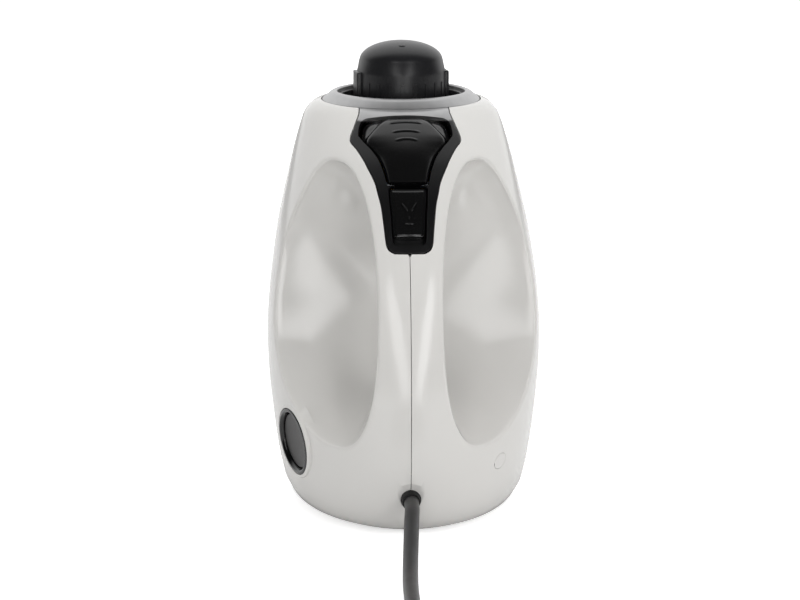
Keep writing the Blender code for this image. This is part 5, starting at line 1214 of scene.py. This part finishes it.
def makeLead(material, rubber):
    coil = coilPoints()
    tangent = (coil[1] - coil[0]).normalized()
    entry = coil[0] - tangent * lead["radius"] * 4
    curve = smoothCurve([Vector(point) for point in leadRoute] + [entry])
    skinBack = -bodyPoint(0, bodyShare(lead["z"])).y
    exitBack = skinBack + lead["outer"]
    inside = [point for point in curve if point.y > -exitBack]
    outside = [point for point in curve if point.y < -exitBack - lead["startGap"]]
    exitPoint = Vector((0, -exitBack, lead["z"]))
    tailTangent = (coil[-1] - coil[-2]).normalized()
    path = [exitPoint] + outside + coil + [coil[-1] + tailTangent * lead["radius"] * 2]
    cable = tube("mainsLead", path, lead["radius"], 6)
    finishPiece(cable, material, "body", "pvc_cord", "power_cord", "cord_coil")
    stub = tube("mainsLeadInside", inside + [exitPoint + Vector((0, common["gap"], 0))], lead["radius"], 6)
    finishPiece(stub, material, "body", "pvc_cord")
    wallInside = skinBack - body["wall"]
    bore = lead["radius"] + lead["looseness"]
    lip = wallInside - lead["seat"]
    relief = turned("leadGrommet", (
        (bore, wallInside - lead["inner"]), (lead["tip"], wallInside - lead["inner"], lead["innerRound"]),
        (lead["collar"], lip - lead["lip"]), (lead["collar"], lip), (lead["sleeve"], lip),
        (lead["sleeve"], skinBack + common["gap"], lead["edgeRound"]),
        (lead["tip"], exitBack, lead["edgeRound"]),
        (bore, exitBack)), 64, True, along((0, -1, 0), (0, 0, lead["z"])))
    finishPiece(relief, rubber, "body", "black_rubber", "strain_relief")


# Solids that stay as they are, with their own finishes

keptNodes = {
    "castAluminium": ("boiler_lower", "boiler_upper"),
    "zincPlatedSteel": ("trigger_pin", "cap_spring", "relief_valve", "boiler_clamp", "heating_element",
                        "valve_stem", "valve_spring", "button_spring", "clamp_screw_1", "clamp_screw_2"),
    "turnedBrass": ("cap_plug", "filler_neck", "steam_valve", "riser_pipe", "steam_jet", "plug_pin_1",
                    "plug_pin_2"),
    "mouldedSilicone": ("cap_seal", "boiler_gasket", "jet_seal"),
    "wireInsulation": ("core_live", "core_earth", "core_neutral", "wire_switch", "wire_element",
                       "wire_thermostat"),
    "mouldedNylon": ("boiler_cradle", "thermostat", "thermal_fuse", "power_switch", "terminal_block",
                     "steam_pipe", "cord_clamp"),
    "mouldedRubber": ("mains_plug",),
}


def dressKeptNodes(looks):
    for look, names in keptNodes.items():
        for name in names:
            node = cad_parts[name]
            if node.material_slots:
                node.material_slots[0].material = looks[look]
            else:
                node.data.materials.append(looks[look])
    print("kept nodes dressed")


# Studio: a white table, a plain sky, two tall soft boxes beside the camera, and fill lamps

studio = {
    "tableFront": -0.52, "tableSide": 6.0, "tableBack": 14.0, "tableColour": "f2f2f2", "tableGlow": 0.62,
    "skyLevel": 0.48, "brightLevel": 1.15, "darkLevel": 0.030, "darkFrom": 0.20, "brightFrom": 0.62,
    "brightSide": (0.0, 0.94, 0.34), "tableRough": 0.9,
}
# Each lamp is aimed at the camera's target: its place, size across, size up, lean in degrees
# (upright if not given), watts, and whether gloss shows it
softBoxes = {
    "leftSoftBox": {"place": (-0.28, -1.45, 0.38), "across": 0.30, "up": 1.50, "lean": 21.0, "watts": 3.3,
                    "gloss": True},
    "rightSoftBox": {"place": (0.45, -1.45, 0.36), "across": 0.26, "up": 1.50, "lean": -21.0, "watts": 3.9,
                     "gloss": True},
    "leftFill": {"place": (-1.05, -0.95, 0.60), "across": 0.55, "up": 1.00, "watts": 2.2,
                 "gloss": False},
    "rightFill": {"place": (1.05, -0.95, 0.60), "across": 0.55, "up": 1.00, "watts": 5.2,
                  "gloss": False},
    "frontFill": {"place": (0.0, 1.45, 0.70), "across": 1.20, "up": 1.00, "watts": 8.0,
                  "gloss": False},
    "topSoftBox": {"place": (0.0, 0.10, 1.50), "across": 1.10, "up": 1.10, "watts": 9.0,
                   "gloss": False},
}


def sumNode(tree, operation, first, second):
    return addNode(tree, "ShaderNodeMath", {"operation": operation}, {0: first, 1: second}).outputs[0]


def makeStudio():
    scene = bpy.context.scene
    scene.view_settings.view_transform = "Standard"
    world = bpy.data.worlds.new("studioSky")
    scene.world = world
    world.use_nodes = True
    tree = world.node_tree
    tree.nodes.clear()
    path = addNode(tree, "ShaderNodeLightPath")
    place = addNode(tree, "ShaderNodeTexCoord")
    # Gloss shows the white background behind the object; the studio is dark behind the camera
    facing = addNode(tree, "ShaderNodeVectorMath", {"operation": "DOT_PRODUCT"}, {
        0: place.outputs["Generated"]})
    facing.inputs[1].default_value = studio["brightSide"]
    bright = addNode(tree, "ShaderNodeMapRange", {"interpolation_type": "SMOOTHSTEP"}, {
        "Value": facing.outputs["Value"], "From Min": studio["darkFrom"], "From Max": studio["brightFrom"],
        "To Min": studio["darkLevel"], "To Max": studio["brightLevel"]})
    glossy = path.outputs["Is Glossy Ray"]
    gloss = sumNode(tree, "MULTIPLY", bright.outputs["Result"], glossy)
    seen = sumNode(tree, "MAXIMUM", path.outputs["Is Camera Ray"], path.outputs["Is Transmission Ray"])
    plain = sumNode(tree, "MULTIPLY", sumNode(tree, "SUBTRACT", 1.0, glossy), studio["skyLevel"])
    level = sumNode(tree, "MAXIMUM", sumNode(tree, "ADD", gloss, plain), seen)
    sky = addNode(tree, "ShaderNodeBackground", None, {"Strength": level})
    sky.inputs["Color"].default_value = (1, 1, 1, 1)
    addNode(tree, "ShaderNodeOutputWorld", None, {"Surface": sky.outputs[0]})
    for name, box in softBoxes.items():
        data = bpy.data.lights.new(name, "AREA")
        data.shape = "ELLIPSE"
        data.size = box["across"]
        data.size_y = box["up"]
        data.energy = box["watts"]
        lamp = bpy.data.objects.new(name, data)
        scene.collection.objects.link(lamp)
        lamp.location = box["place"]
        lamp.visible_camera = False
        lamp.visible_glossy = box["gloss"]
        aim = Vector(camera["target"]) - lamp.location
        lean = Matrix.Rotation(math.radians(box.get("lean", 0.0)), 4, "Z").to_quaternion()
        lamp.rotation_mode = "QUATERNION"
        lamp.rotation_quaternion = aim.to_track_quat("-Z", "Y") @ lean
    side, front, back = studio["tableSide"], studio["tableFront"], studio["tableBack"]
    corners = [(-side, front, 0), (side, front, 0), (side, back, 0), (-side, back, 0)]
    mesh = bpy.data.meshes.new("studioTable")
    mesh.from_pydata(corners, [], [(0, 1, 2, 3)])
    table = newObject("studioTable", mesh)
    paper = bpy.data.materials.new("mattWhitePaper")
    paper.use_nodes = True
    tree = paper.node_tree
    shader = tree.nodes["Principled BSDF"]
    shader.inputs["Base Color"].default_value = linearColour(studio["tableColour"])
    shader.inputs["Roughness"].default_value = studio["tableRough"]
    shader.inputs["Specular IOR Level"].default_value = 0.0
    path = addNode(tree, "ShaderNodeLightPath")
    seen = sumNode(tree, "MAXIMUM", path.outputs["Is Camera Ray"], path.outputs["Is Transmission Ray"])
    glow = sumNode(tree, "MULTIPLY", seen, studio["tableGlow"])
    shader.inputs["Emission Color"].default_value = (1, 1, 1, 1)
    tree.links.new(glow, shader.inputs["Emission Strength"])
    mesh.materials.append(paper)
    print("studio")


def main():
    makeCamera()
    looks = {name: makeFinish(name) for name in finishes}
    makeLead(looks["extrudedPvc"], looks["mouldedRubber"])
    makeShells(looks["glossyWhiteAbs"])
    makeCollar(looks["satinSilverPaint"], makeFramePaint(looks["satinSilverPaint"]))
    makeTrigger(looks["glossyBlackAbs"])
    makeLock(looks["glossyBlackAbs"])
    makeCap(looks["satinBlackPlastic"])
    makeButton(looks["glossyBlackAbs"], looks["satinGreyAbs"])
    makeSpout(looks["satinBlackPlastic"])
    makeFeet(looks["mouldedRubber"])
    makeScrews(looks["zincPlatedSteel"])
    dressKeptNodes(looks)
    makeStudio()


main()
